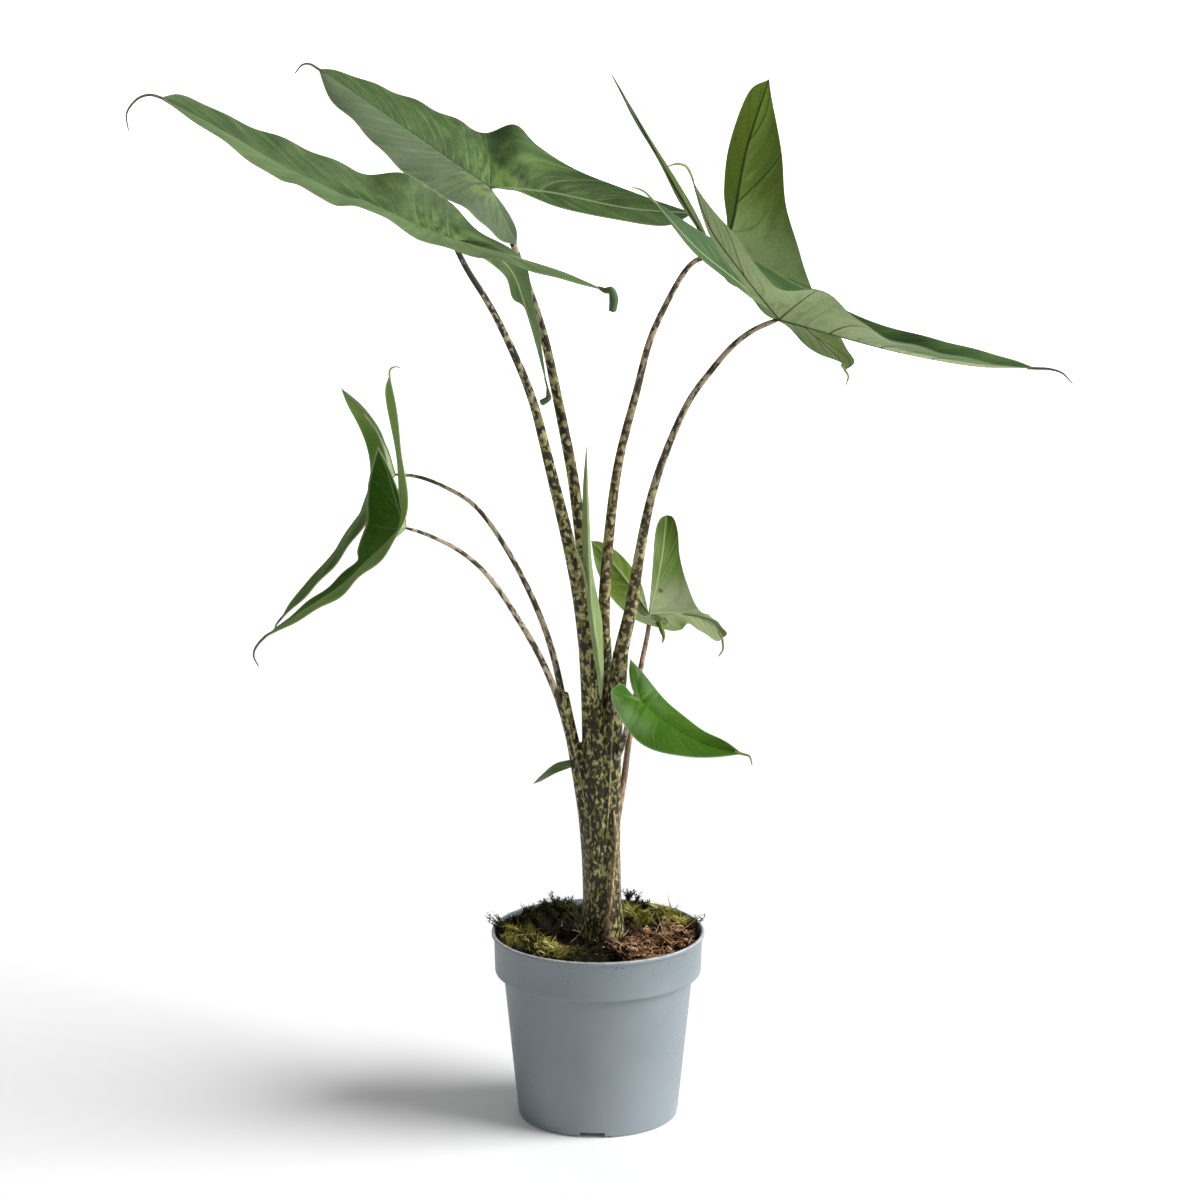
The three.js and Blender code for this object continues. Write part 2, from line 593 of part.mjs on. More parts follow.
// Solid blade from the triangles of its middle surface. Each vertex moves half the thickness
// along its normal to both sides, and the vertices on a rib move further on the lower side.
function thickened(triangles, ribPoints) {
  const keyOf = (p) => `${p.x.toFixed(4)},${p.y.toFixed(4)},${p.z.toFixed(4)}`;
  const vertices = new Map();
  const kept = [];
  for (const corners of triangles) {
    const keys = corners.map(keyOf);
    if (new Set(keys).size < 3) continue;
    const [a, b, c] = corners;
    const normal = b.clone().sub(a).cross(c.clone().sub(a));
    keys.forEach((key, k) => {
      if (!vertices.has(key)) vertices.set(key, { point: corners[k], normal: new THREE.Vector3(), rib: 0 });
      vertices.get(key).normal.add(normal);
    });
    kept.push(keys);
  }
  for (const { point, rise } of ribPoints) {
    const vertex = vertices.get(keyOf(point));
    if (vertex) vertex.rib = rise;
  }
  for (const vertex of vertices.values()) {
    vertex.normal.normalize();
    vertex.top = vertex.point.clone().addScaledVector(vertex.normal, BLADE_THICKNESS / 2);
    vertex.bottom = vertex.point.clone()
      .addScaledVector(vertex.normal, -BLADE_THICKNESS / 2 - vertex.rib);
  }
  const edges = new Set();
  for (const keys of kept) keys.forEach((key, k) => edges.add(`${key}|${keys[(k + 1) % 3]}`));
  const solid = [];
  for (const keys of kept) {
    const [a, b, c] = keys.map((key) => vertices.get(key));
    solid.push([a.top, b.top, c.top], [a.bottom, c.bottom, b.bottom]);
    keys.forEach((key, k) => {
      const next = keys[(k + 1) % 3];
      if (edges.has(`${next}|${key}`)) return;
      const from = vertices.get(key);
      const to = vertices.get(next);
      solid.push([from.top, from.bottom, to.bottom], [from.top, to.bottom, to.top]);
    });
  }
  return solidOfTriangles(solid);
}

// Stretch of a stalk between two of its steps.
function stalkStretch(stalk, from, to) {
  const path = spaced(stalk.path, stalk.steps).slice(from, to + 1);
  const radii = path.map((unused, i) => along(stalk.radii, (from + i) / stalk.steps));
  return { path, radii };
}

// Top end of a stalk, which tapers into the blade and belongs to it.
function neck(stalk) {
  const { path, radii } = stalkStretch(stalk, 0, stalk.neck);
  const points = [path[0], path[0].clone().lerp(path[1], 0.5), ...path.slice(1)];
  return rod(points, [NECK_END_RADIUS, radii[0], ...radii.slice(1)], STALK_SIDES);
}

// Stalk from a small gap under its neck down to its sheath.
function stalkRod(stalk) {
  const { path, radii } = stalkStretch(stalk, stalk.neck, stalk.steps);
  path[0].lerp(path[1], CLEARANCE / path[0].distanceTo(path[1]));
  return rod(path, radii, STALK_SIDES);
}

// Arrow-shaped blade with the neck of its stalk.
function leafBlade(leaf) {
  const stalkEnd = leaf.midrib[0];
  const dripStart = leaf.midrib[leaf.midrib.length - 1];
  const midrib = spaced([...leaf.midrib].reverse(), leaf.rows);
  const backRows = Math.round(leaf.rows / 2);
  const triangles = [];
  const ribPoints = midrib.map((point, i) => ({ point, rise: RIB_HEIGHT * (i / leaf.rows) }));
  const pieces = [];
  for (const half of leaf.halves) {
    const rim = [dripStart, ...half.outer, half.tip];
    const costa = spaced([stalkEnd, ...half.costa, half.tip], backRows);
    const inner = spaced([stalkEnd, ...half.inner, half.tip], backRows);
    const frontRim = spaced(rim, leaf.rows, 0, half.shoulder);
    const backRim = spaced(rim, backRows, half.shoulder);
    const spine = [...midrib, ...costa.slice(1)];
    const edge = [...frontRim, ...backRim.slice(1)];
    const facing = facingOf(midrib, frontRim, leaf.upper);
    triangles.push(...strip(spine, edge, leaf.columns, facing, half.bulge, leaf.wave, leaf.waves));
    triangles.push(...strip(costa, inner, 1, -facing, 0, 0, 0));
    costa.forEach((point, i) => ribPoints.push({ point, rise: RIB_HEIGHT * (1 - i / backRows) }));
    if (half.curl) pieces.push(curledEnd([half.costa.at(-1), half.tip], half.curl));
    if (half.spur) pieces.push(curledEnd([half.spur.root, half.spur.path[0]], half.spur));
  }
  pieces.push(curledEnd(leaf.midrib.slice(-2), leaf.drip));
  pieces.push(neck(STALKS.find((stalk) => stalk.leaf === leaf.name)));
  return joined([thickened(triangles, ribPoints), ...pieces]);
}

// Thin rolled end of a blade, rooted a short way back along the rib that it grows from.
function curledEnd(ribEnd, curl) {
  const [before, tip] = ribEnd.map(vector);
  const root = tip.clone().add(before.sub(tip).setLength(CURL_ROOT));
  const farFromLast = (p, i, all) => i === 0 || p.distanceTo(all[i - 1]) > 1;
  const path = [root, tip, ...curl.path.map(vector)].filter(farFromLast).map((p) => p.toArray());
  return rod(spaced(path, CURL_STEPS), curl.radii, CURL_SIDES);
}

// Narrow blade between a left and a right edge, folded along its middle line.
function narrowBlade({ left, middle, right }, upper, rows) {
  const spine = spaced(middle, rows);
  const triangles = [];
  for (const side of [left, right]) {
    const edge = spaced(side, rows);
    triangles.push(...strip(spine, edge, NARROW_COLUMNS, facingOf(spine, edge, upper), 0, 0, 0));
  }
  return thickened(triangles, []);
}

// Repeatable random numbers from 0 to 1.
function seededRandom(seed) {
  let state = seed;
  return () => {
    state = (state * 1664525 + 1013904223) % 4294967296;
    return state / 4294967296;
  };
}

// Turned solid of a closed profile of [radius, height] points.
function turned(profile, segments) {
  const points = [...profile, profile[0]].map((p) => new THREE.Vector2(...p));
  return solidOfGeometry(new THREE.LatheGeometry(points, segments).rotateX(Math.PI / 2));
}

// Corners of the pot's inner profile from the floor up, moved in by a gap.
function potInside(gap) {
  const shoulder = POT_HEIGHT - BAND_HEIGHT;
  const slope = (BODY_TOP_RADIUS - FOOT_RADIUS) / (shoulder - BAND_STEP);
  return [
    [FOOT_RADIUS + slope * FLOOR_TOP - WALL - gap, FLOOR_TOP + gap],
    [BODY_TOP_RADIUS - WALL - gap, shoulder - BAND_STEP / 2],
    [BAND_RADIUS - BAND_STEP - WALL - gap, shoulder + WALL + gap],
    [BAND_RADIUS - WALL - gap, POT_HEIGHT - 2 * LIP_HEIGHT],
  ];
}

// Pot turned about its axis, with notches through its foot ring and holes through its floor.
function pot() {
  const shoulder = POT_HEIGHT - BAND_HEIGHT;
  const lipBottom = POT_HEIGHT - LIP_HEIGHT;
  const shell = turned([
    [0, 0],
    [BASE_PAD_RADIUS, 0],
    [BASE_PAD_RADIUS + 1, FLOOR_BOTTOM],
    [FOOT_RADIUS - FOOT_WALL - 1, FLOOR_BOTTOM],
    [FOOT_RADIUS - FOOT_WALL, 0],
    [FOOT_RADIUS - FOOT_ROUNDING, 0],
    [FOOT_RADIUS - FOOT_ROUNDING * 0.3, FOOT_ROUNDING * 0.3],
    [FOOT_RADIUS + 0.2, FOOT_ROUNDING],
    [BODY_TOP_RADIUS, shoulder - BAND_STEP],
    [BAND_RADIUS - BAND_STEP, shoulder],
    [BAND_RADIUS - BAND_STEP / 2, shoulder + BAND_STEP],
    [BAND_RADIUS, lipBottom - LIP_ROUNDING],
    [RIM_RADIUS, lipBottom],
    [RIM_RADIUS, POT_HEIGHT - LIP_ROUNDING],
    [RIM_RADIUS - LIP_ROUNDING, POT_HEIGHT],
    [RIM_RADIUS - LIP_WIDTH, POT_HEIGHT],
    ...potInside(0).reverse(),
    [0, FLOOR_TOP],
  ], POT_SEGMENTS);
  const cuts = [];
  for (let i = 0; i < NOTCH_COUNT; i++) {
    const turn = NOTCH_TURN + (2 * Math.PI * i) / NOTCH_COUNT;
    const sizes = [[NOTCH_WIDTH, NOTCH_HEIGHT], [NOTCH_STEP_WIDTH, NOTCH_STEP_HEIGHT]];
    for (const [width, height] of sizes) {
      const box = new THREE.BoxGeometry(NOTCH_REACH, width, 2 * height);
      box.translate(FOOT_RADIUS, 0, 0).rotateZ(turn);
      cuts.push(solidOfGeometry(box));
    }
  }
  for (let i = 0; i < DRAIN_HOLE_COUNT; i++) {
    const turn = (2 * Math.PI * (i + 0.5)) / DRAIN_HOLE_COUNT;
    const hole = new THREE.CylinderGeometry(DRAIN_HOLE_RADIUS, DRAIN_HOLE_RADIUS, DRAIN_CUT_LENGTH, 10);
    hole.rotateX(Math.PI / 2);
    hole.translate(DRAIN_CIRCLE_RADIUS * Math.cos(turn), DRAIN_CIRCLE_RADIUS * Math.sin(turn), FLOOR_TOP);
    cuts.push(solidOfGeometry(hole));
  }
  return shell.subtract(joined(cuts));
}

// Height of the soil's lumpy surface, which rises in a low mound to the stem.
function soilHeight(x, y) {
  const distance = Math.hypot(x - STEM_X, y);
  const lumps = Math.sin(x * 0.21 + 1.3) * Math.sin(y * 0.19 + 0.4)
    + 0.6 * Math.sin(x * 0.47 - y * 0.31) + 0.4 * Math.sin(x * 0.13 + y * 0.53 + 2);
  return SOIL_LEVEL + SOIL_MOUND * Math.exp(-((distance / SOIL_MOUND_RADIUS) ** 2)) + SOIL_LUMP * lumps;
}

// Soil that fills the pot, with its surface raised by the given amount.
function soil(raise = 0) {
  const inside = potInside(CLEARANCE);
  const topRadius = inside.at(-1)[0] - SOIL_EDGE_GAP;
  const columns = [[0, inside[0][1]], ...inside.slice(0, 3)];
  const ring = (radius, heightAt) => Array.from({ length: SOIL_SEGMENTS }, (unused, k) => {
    const turn = (2 * Math.PI * k) / SOIL_SEGMENTS;
    const x = radius * Math.cos(turn);
    const y = radius * Math.sin(turn);
    return new THREE.Vector3(x, y, heightAt(x, y));
  });
  const rings = columns.map(([radius, height]) => ring(radius, () => height));
  for (let i = SOIL_RINGS; i >= 0; i--) {
    rings.push(ring((topRadius * i) / SOIL_RINGS, (x, y) => soilHeight(x, y) + raise));
  }
  const triangles = [];
  for (let i = 0; i < rings.length - 1; i++) {
    for (let k = 0; k < SOIL_SEGMENTS; k++) {
      const next = (k + 1) % SOIL_SEGMENTS;
      triangles.push([rings[i][k], rings[i][next], rings[i + 1][next]]);
      triangles.push([rings[i][k], rings[i + 1][next], rings[i + 1][k]]);
    }
  }
  return solidOfTriangles(triangles);
}

// Mat of moss or fibre on a sector of the soil, thick in the middle and thin at its ragged
// edge, with leaning tufts rooted in it and a few taller weed sprigs.
function mat(spec, seed, clearOf) {
  const random = seededRandom(seed);
  const rows = MAT_ROWS;
  const angleOf = (share) => THREE.MathUtils.degToRad(spec.from + (spec.to - spec.from) * share);
  const topAt = (u, v) => {
    const turn = angleOf(u);
    const ragged = 3.2 * Math.sin(u * 23 + seed) + 2.2 * Math.sin(u * 51);
    const radius = spec.inner + ragged + (spec.outer - spec.inner - ragged) * v;
    const x = radius * Math.cos(turn);
    const y = radius * Math.sin(turn);
    const body = Math.sin(Math.PI * v) ** 0.5 * Math.sin(Math.PI * u) ** 0.35;
    const lumps = 1 + 0.28 * Math.sin(x * 0.7 + y * 0.4) + 0.22 * Math.sin(y * 0.9 - x * 0.3);
    return new THREE.Vector3(x, y, soilHeight(x, y) + MAT_LIFT + spec.thickness * body * lumps);
  };
  const top = [];
  for (let i = 0; i <= spec.columns; i++) {
    top.push(Array.from({ length: rows + 1 }, (unused, j) => topAt(i / spec.columns, j / rows)));
  }
  const bottom = top.map((line) => line.map((p) => new THREE.Vector3(p.x, p.y, MAT_BOTTOM)));
  const triangles = [];
  const quad = (a, b, c, d) => triangles.push([a, b, c], [a, c, d]);
  for (let i = 0; i < spec.columns; i++) {
    for (let j = 0; j < rows; j++) {
      quad(top[i][j], top[i][j + 1], top[i + 1][j + 1], top[i + 1][j]);
      quad(bottom[i][j], bottom[i + 1][j], bottom[i + 1][j + 1], bottom[i][j + 1]);
    }
    quad(top[i][0], top[i + 1][0], bottom[i + 1][0], bottom[i][0]);
    quad(top[i + 1][rows], top[i][rows], bottom[i][rows], bottom[i + 1][rows]);
  }
  for (let j = 0; j < rows; j++) {
    const last = spec.columns;
    quad(top[0][j + 1], top[0][j], bottom[0][j], bottom[0][j + 1]);
    quad(top[last][j], top[last][j + 1], bottom[last][j + 1], bottom[last][j]);
  }
  const pieces = [solidOfTriangles(triangles)];
  for (let i = 0; i < spec.tufts; i++) {
    const root = topAt(0.06 + (0.88 * (i + random())) / spec.tufts, 0.14 + 0.66 * random());
    const turn = 2 * Math.PI * random();
    const length = spec.tuftLength * (0.6 + 0.6 * random());
    const reach = Math.atan(spec.lean * (0.4 + 0.6 * random()));
    const out = new THREE.Vector3(Math.cos(turn) * Math.sin(reach), Math.sin(turn) * Math.sin(reach), 0);
    const up = new THREE.Vector3(0, 0, Math.cos(reach));
    const middle = root.clone().addScaledVector(out, length * 0.5).addScaledVector(up, length * 0.6);
    const end = root.clone().addScaledVector(out, length).addScaledVector(up, length * 0.85);
    root.z -= TUFT_ROOT;
    const insidePot = Math.hypot(end.x, end.y) < TUFT_OUTER_LIMIT;
    if (insidePot && Math.hypot(end.x - STEM_X, end.y) > TUFT_INNER_LIMIT) {
      pieces.push(rod([root, middle, end], [spec.tuftRadius, 1, 0.5], 3));
    }
  }
  for (const [angle, distance, height] of spec.sprigs) {
    const turn = THREE.MathUtils.degToRad(angle);
    const foot = topAt((angle - spec.from) / (spec.to - spec.from), 0.8);
    const head = new THREE.Vector3(distance * Math.cos(turn), distance * Math.sin(turn), foot.z + height);
    foot.z -= TUFT_ROOT;
    const bend = foot.clone().lerp(head, 0.55).add(new THREE.Vector3(1.5, 0, 1));
    pieces.push(rod([foot, bend, head], SPRIG_RADII, 3));
    for (let k = 0; k < SPRIG_LEAVES; k++) {
      const base = bend.clone().lerp(head, k / SPRIG_LEAVES);
      const side = 2 * Math.PI * random();
      const out = new THREE.Vector3(Math.cos(side), Math.sin(side), 0);
      const leafEnd = base.clone().addScaledVector(out, SPRIG_LEAF_LENGTH);
      leafEnd.z += SPRIG_LEAF_RISE;
      pieces.push(rod([base, base.clone().lerp(leafEnd, 0.6), leafEnd], SPRIG_LEAF_RADII, 3));
    }
  }
  return largestBody(joined(pieces).subtract(clearOf));
}

// Stem of sheaths round the corm, grown by a margin where other pieces are cut clear of it.
function stem(margin = 0) {
  const sheathRod = ({ path, radii }) => rod(spaced(path, SHEATH_STEPS), radii, SHEATH_SIDES, margin);
  return joined([...SHEATHS, CORM].map(sheathRod));
}

place('pot', pot(), 'pot');
const stemSpace = stem(CLEARANCE);
place('pseudostem', stem(), 'stem');
place('soil', largestBody(soil().subtract(stemSpace)), 'soil');
const groundSpace = soil(CLEARANCE).add(stemSpace);
MATS.forEach((spec, i) => place(spec.name, mat(spec, i + 3, groundSpace), spec.material));

for (const leaf of LEAVES) place(leaf.name, leafBlade(leaf), LEAF_MATERIAL[leaf.name] ?? 'leafDark');
for (const stalk of STALKS) {
  place(stalk.name, largestBody(stalkRod(stalk).subtract(stemSpace)), 'stem');
}
for (const leaf of NARROW_LEAVES) {
  const blades = [narrowBlade(leaf, leaf.upper, leaf.rows)];
  if (leaf.flap) blades.push(narrowBlade(leaf.flap, leaf.upper, 6));
  place(leaf.name, largestBody(joined(blades).subtract(stemSpace)), leaf.material);
}

export default plant;
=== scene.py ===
import math

import bmesh
import bpy
import numpy as np
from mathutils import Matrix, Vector


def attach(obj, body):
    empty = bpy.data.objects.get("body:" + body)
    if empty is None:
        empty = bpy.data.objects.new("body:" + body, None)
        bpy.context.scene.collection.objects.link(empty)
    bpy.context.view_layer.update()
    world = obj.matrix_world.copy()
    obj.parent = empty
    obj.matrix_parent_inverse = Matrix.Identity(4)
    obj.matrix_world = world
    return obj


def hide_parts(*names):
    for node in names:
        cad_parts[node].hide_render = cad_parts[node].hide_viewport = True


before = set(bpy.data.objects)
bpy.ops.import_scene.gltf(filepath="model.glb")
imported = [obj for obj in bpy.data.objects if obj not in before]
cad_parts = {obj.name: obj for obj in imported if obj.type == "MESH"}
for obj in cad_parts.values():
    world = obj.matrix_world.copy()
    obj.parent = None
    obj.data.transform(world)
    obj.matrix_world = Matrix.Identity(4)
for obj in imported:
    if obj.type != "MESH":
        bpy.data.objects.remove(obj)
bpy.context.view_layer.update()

# Pot. One moulded piece of matt grey-blue plastic: a tapered wall under a stacking band and a
# thin lip, a foot ring with four stepped notches, and a floor with six drain holes.

MM = 0.001
POT_OUTSIDE = [
    (0, 0), (20, 0), (21, 6.5), (66.5, 6.5), (67.5, 0), (69, 0), (70.4, 0.3), (71.2, 1), (71.7, 2.5),
    (84.35, 130), (84.7, 131), (86, 131.5), (91, 132.9), (91.7, 133.4), (92, 134.2), (92.1, 136),
    (92.9, 165.6), (93.4, 166.4), (94.6, 166.8), (95, 167.2), (95, 169.2), (94.7, 169.8), (94, 170),
    (93, 170), (92.5, 169.7),
]
POT_INSIDE = [(91.4, 164), (89.4, 134.6), (83, 132), (71, 8.5), (0, 8.5)]
POT_SEGMENTS = 192
NOTCH_TURN = -math.pi / 2 - 0.07
NOTCH_SECTION = [(-17, -1), (17, -1), (17, 1.6), (11, 1.6), (11, 5), (-11, 5), (-11, 1.6), (-17, 1.6)]
NOTCH_REACH = (60, 84)
DRAIN_HOLES = 6
DRAIN_HOLE_SIDES = 32
DRAIN_CUT = (1, 20)
DRAIN_HOLE_RADIUS = 4.5
DRAIN_CIRCLE_RADIUS = 44


def put_mesh(name, corners, faces, materials, slots=None, marks=None, crease=50):
    """Mesh object at the origin from corners in millimetres and triangles. slots gives the
    material of each face, and marks a value or a vector for each corner of each face. Edges
    sharper than crease, in degrees, stay sharp."""
    faces = np.asarray(faces, np.int32)
    mesh = bpy.data.meshes.new(name)
    mesh.vertices.add(len(corners))
    mesh.vertices.foreach_set("co", np.asarray(np.asarray(corners) * MM, np.float32).ravel())
    mesh.loops.add(faces.size)
    mesh.loops.foreach_set("vertex_index", faces.ravel())
    mesh.polygons.add(len(faces))
    mesh.polygons.foreach_set("loop_start", np.arange(0, faces.size, 3, dtype=np.int32))
    if slots is not None:
        mesh.polygons.foreach_set("material_index", np.asarray(slots, np.int32))
    mesh.update(calc_edges=True)
    for mark_name, values in (marks or {}).items():
        values = np.asarray(values, np.float32)
        vector = values.ndim > 1
        layer = mesh.attributes.new(mark_name, "FLOAT_VECTOR" if vector else "FLOAT", "CORNER")
        layer.data.foreach_set("vector" if vector else "value", values.ravel())
    for material in materials:
        mesh.materials.append(material)
    mesh.shade_smooth()
    mesh.set_sharp_from_angle(angle=math.radians(crease))
    piece = bpy.data.objects.new(name, mesh)
    bpy.context.scene.collection.objects.link(piece)
    return piece


def grid_faces(rows, columns, around=False):
    """Two triangles for each cell of a grid of corners, which face along the cross product of
    the row direction and the column direction. Around joins the last column to the first."""
    i = np.arange(rows - 1)[:, None]
    j = np.arange(columns if around else columns - 1)[None, :]
    a = i * columns + j
    d = i * columns + (j + 1) % columns
    b, c = a + columns, d + columns
    return np.stack([np.stack([a, b, c], -1), np.stack([a, c, d], -1)], 2).reshape(-1, 3)


def welded(corners, faces):
    """Corners that share a place become one, and faces that collapse are dropped. Also returns
    the old number of each corner kept and which faces were kept."""
    _, first, index = np.unique(
        np.round(corners, 3), axis=0, return_index=True, return_inverse=True)
    faces = index.reshape(-1)[faces]
    whole = (faces[:, 0] != faces[:, 1]) & (faces[:, 1] != faces[:, 2]) & (faces[:, 2] != faces[:, 0])
    return corners[first], faces[whole], first, whole


def turned(profile, segments):
    """Surface of revolution: each profile point (radius, height) becomes a ring of points
    (radius cos t, radius sin t, height). A profile that runs up the outside faces outwards."""
    profile = np.array(profile, float)
    turn = 2 * math.pi * np.arange(segments) / segments
    radius, height = profile[:, :1], profile[:, 1:]
    grid = np.stack([radius * np.cos(turn), radius * np.sin(turn), height + 0 * turn], -1)
    faces = grid_faces(len(profile), segments, around=True)[:, ::-1]
    corners, faces, _, _ = welded(grid.reshape(-1, 3), faces)
    return corners, faces


def prisms(sections):
    """Object of closed prisms, one for each pair of matching outlines in space."""
    corners, faces = [], []
    for one_end, other_end in sections:
        n, start = len(one_end), len(corners)
        corners += [tuple(p * MM) for p in one_end] + [tuple(p * MM) for p in other_end]
        faces += [tuple(range(start, start + n))[::-1], tuple(range(start + n, start + 2 * n))]
        faces += [(start + k, start + (k + 1) % n, start + n + (k + 1) % n, start + n + k)
                  for k in range(n)]
    mesh = bpy.data.meshes.new("cutter")
    mesh.from_pydata(corners, [], faces)
    piece = bpy.data.objects.new("cutter", mesh)
    bpy.context.scene.collection.objects.link(piece)
    return piece


def applied(piece):
    """Makes the modifiers of a piece part of its mesh."""
    bpy.context.view_layer.update()
    mesh = bpy.data.meshes.new_from_object(piece.evaluated_get(bpy.context.evaluated_depsgraph_get()))
    piece.modifiers.clear()
    piece.data = mesh
    return mesh


def srgb(text):
    """Linear colour of a six-digit screen colour."""
    share = np.array([int(text[i:i + 2], 16) / 255 for i in (0, 2, 4)])
    linear = np.where(share > 0.04045, ((share + 0.055) / 1.055) ** 2.4, share / 12.92)
    return (*linear.tolist(), 1.0)


class Wire:
    """Output of a shader node. Arithmetic on it adds a node to the material in hand that works
    the result out, for numbers and for other wires."""

    def __init__(self, socket):
        """Wire from a socket."""
        self.socket = socket

    def __add__(self, other):
        """This plus the other."""
        return work("ADD", self, other)

    def __sub__(self, other):
        """This minus the other."""
        return work("SUBTRACT", self, other)

    def __rsub__(self, other):
        """The other minus this."""
        return work("SUBTRACT", other, self)

    def __mul__(self, other):
        """This times the other."""
        return work("MULTIPLY", self, other)

    def __truediv__(self, other):
        """This over the other."""
        return work("DIVIDE", self, other)

    __radd__, __rmul__ = __add__, __mul__


def started(name):
    """Starts a material, to which the functions below add their nodes until the next one."""
    global tree
    material = bpy.data.materials.new(name)
    material.use_nodes = True
    tree = material.node_tree
    return material


def feed(shader, inputs):
    """Sets sockets of a shader node to numbers, colours or wires."""
    for socket, value in inputs.items():
        if isinstance(value, Wire):
            tree.links.new(value.socket, shader.inputs[socket])
        else:
            shader.inputs[socket].default_value = value


def node(kind, inputs, output=0, **options):
    """Wire from one output of a new shader node."""
    made = tree.nodes.new(kind)
    for option, value in options.items():
        setattr(made, option, value)
    feed(made, inputs)
    return Wire(made.outputs[output])


def work(operation, *values):
    """Result of one arithmetic operation on numbers or wires."""
    return node("ShaderNodeMath", dict(enumerate(values)), operation=operation)


def ramp(value, start, stop, low=0.0, high=1.0):
    """Smooth step from low at start to high at stop."""
    inputs = {0: value, 1: start, 2: stop, 3: low, 4: high}
    return node("ShaderNodeMapRange", inputs, interpolation_type="SMOOTHSTEP")


def mixed(share, first, second):
    """Colour that goes from first to second as share goes from 0 to 1."""
    return node("ShaderNodeMix", {0: share, 6: first, 7: second}, 2, data_type="RGBA")


def noise(place, scale, detail=3, roughness=0.55, stretch=(1, 1, 1)):
    """Cloudy value round a half, with features of about one over scale, in metres."""
    spread = node("ShaderNodeMapping", {0: place, 3: tuple(scale * s for s in stretch)})
    inputs = {"Vector": spread, "Scale": 1.0, "Detail": detail, "Roughness": roughness}
    return node("ShaderNodeTexNoise", inputs)


def object_place():
    """Place on the object in metres."""
    return node("ShaderNodeTexCoord", {}, "Object")


def axes(place):
    """The three coordinates of a place."""
    return [node("ShaderNodeSeparateXYZ", {0: place}, k) for k in range(3)]


def mark(name, output="Fac"):
    """Value that each corner of the mesh holds under a name."""
    return node("ShaderNodeAttribute", {}, output, attribute_name=name)


def finished(colour, roughness, gloss=0.5, height=None, depth=0):
    """Leads colour, roughness and gloss to the surface of the material in hand, and tilts it by
    a height, where 1 stands for depth in metres."""
    surface = tree.nodes["Principled BSDF"]
    feed(surface, {"Base Color": colour, "Roughness": roughness, "Specular IOR Level": gloss})
    if height is not None:
        inputs = {"Strength": 1.0, "Distance": depth, "Height": height}
        feed(surface, {"Normal": node("ShaderNodeBump", inputs)})


plastic = started("grey_blue_plastic")
place = object_place()
x, y, height = axes(place)
reach = work("SQRT", x * x + y * y)
haze = noise(place, 9, 4)
colour = mixed(ramp(haze, 0.3, 0.7), srgb("7a8489"), srgb("848d92"))
scuff = noise(place, 60, 5, 0.7, stretch=(1, 1, 7))
colour = mixed(ramp(scuff, 0.64, 0.8, 0, 0.35), colour, srgb("b1babd"))
# Paler top of the lip: wear, plus a painted highlight where the edge catches the light.
lip_wear_and_highlight = ramp(height, 0.1685, 0.1697) * ramp(reach, 0.0925, 0.0938)
lip_wear_and_highlight = lip_wear_and_highlight * ramp(noise(place, 130, 3), 0.35, 0.6, 0.35, 1)
colour = mixed(lip_wear_and_highlight * 0.85, colour, srgb("c6c8c5"))
# Darker brownish inner wall above the soil: painted shade, with some soil dirt.
inner_wall_shade_and_dirt = ramp(reach, 0.092, 0.0914) * ramp(height, 0.1345, 0.136)
colour = mixed(inner_wall_shade_and_dirt * 0.75, colour, srgb("4c4a42"))
specks = ramp(noise(place, 400, 2) - ramp(height, 0.12, 0.17, 0.8, 0.65), 0, 0.05)
colour = mixed(specks * 0.75, colour, srgb("33302a"))
finished(colour, ramp(scuff, 0.3, 0.8, 0.46, 0.66), 0.5, noise(place, 1600, 2) + scuff, 0.00006)

pot = put_mesh("pot_moulding", *turned(POT_OUTSIDE + POT_INSIDE, POT_SEGMENTS), [plastic])
cutters = []
for k in range(4):
    turn = NOTCH_TURN + k * math.pi / 2
    out = np.array([math.cos(turn), math.sin(turn), 0])
    side = np.array([-math.sin(turn), math.cos(turn), 0])
    cutters.append([[reach * out + y * side + np.array([0, 0, z]) for y, z in NOTCH_SECTION]
                    for reach in NOTCH_REACH])
for k in range(DRAIN_HOLES):
    turn = 2 * math.pi * (k + 0.5) / DRAIN_HOLES
    middle = DRAIN_CIRCLE_RADIUS * np.array([math.cos(turn), math.sin(turn), 0])
    ring = [middle + DRAIN_HOLE_RADIUS * np.array([math.cos(t), math.sin(t), 0])
            for t in np.linspace(0, 2 * math.pi, DRAIN_HOLE_SIDES, endpoint=False)]
    cutters.append([[p + np.array([0, 0, z]) for p in ring] for z in DRAIN_CUT])
cutter = prisms(cutters)
cut = pot.modifiers.new("holes", "BOOLEAN")
cut.object = cutter
cut.solver = "EXACT"
mesh = applied(pot)
clean = bmesh.new()
clean.from_mesh(mesh)
bmesh.ops.remove_doubles(clean, verts=clean.verts, dist=1e-6)
bmesh.ops.dissolve_degenerate(clean, edges=clean.edges, dist=1e-6)
clean.to_mesh(mesh)
clean.free()
mesh.set_sharp_from_angle(angle=math.radians(35))
bpy.data.objects.remove(cutter)
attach(pot, "root")
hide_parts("pot")

# Soil. Dark crumbly peat that fills the pot to just under the rim, with loose crumbs, a few
# pale grains and bits of straw on it. The stem stands in it.

LUMP_FACES = 20
STRAND_FACES = 38
LOOP_FACES = 108
SOIL_LEVEL = 158
SOIL_MOUND = 8
SOIL_MOUND_RADIUS = 42
SOIL_LUMP = 1.6
STEM_X = 4
STEM_ROOM = 17
LATTICE = 64
SOIL_RADIUS = 90.7
CRUMBS = 3000
GRAINS = 70
STRAWS = 16


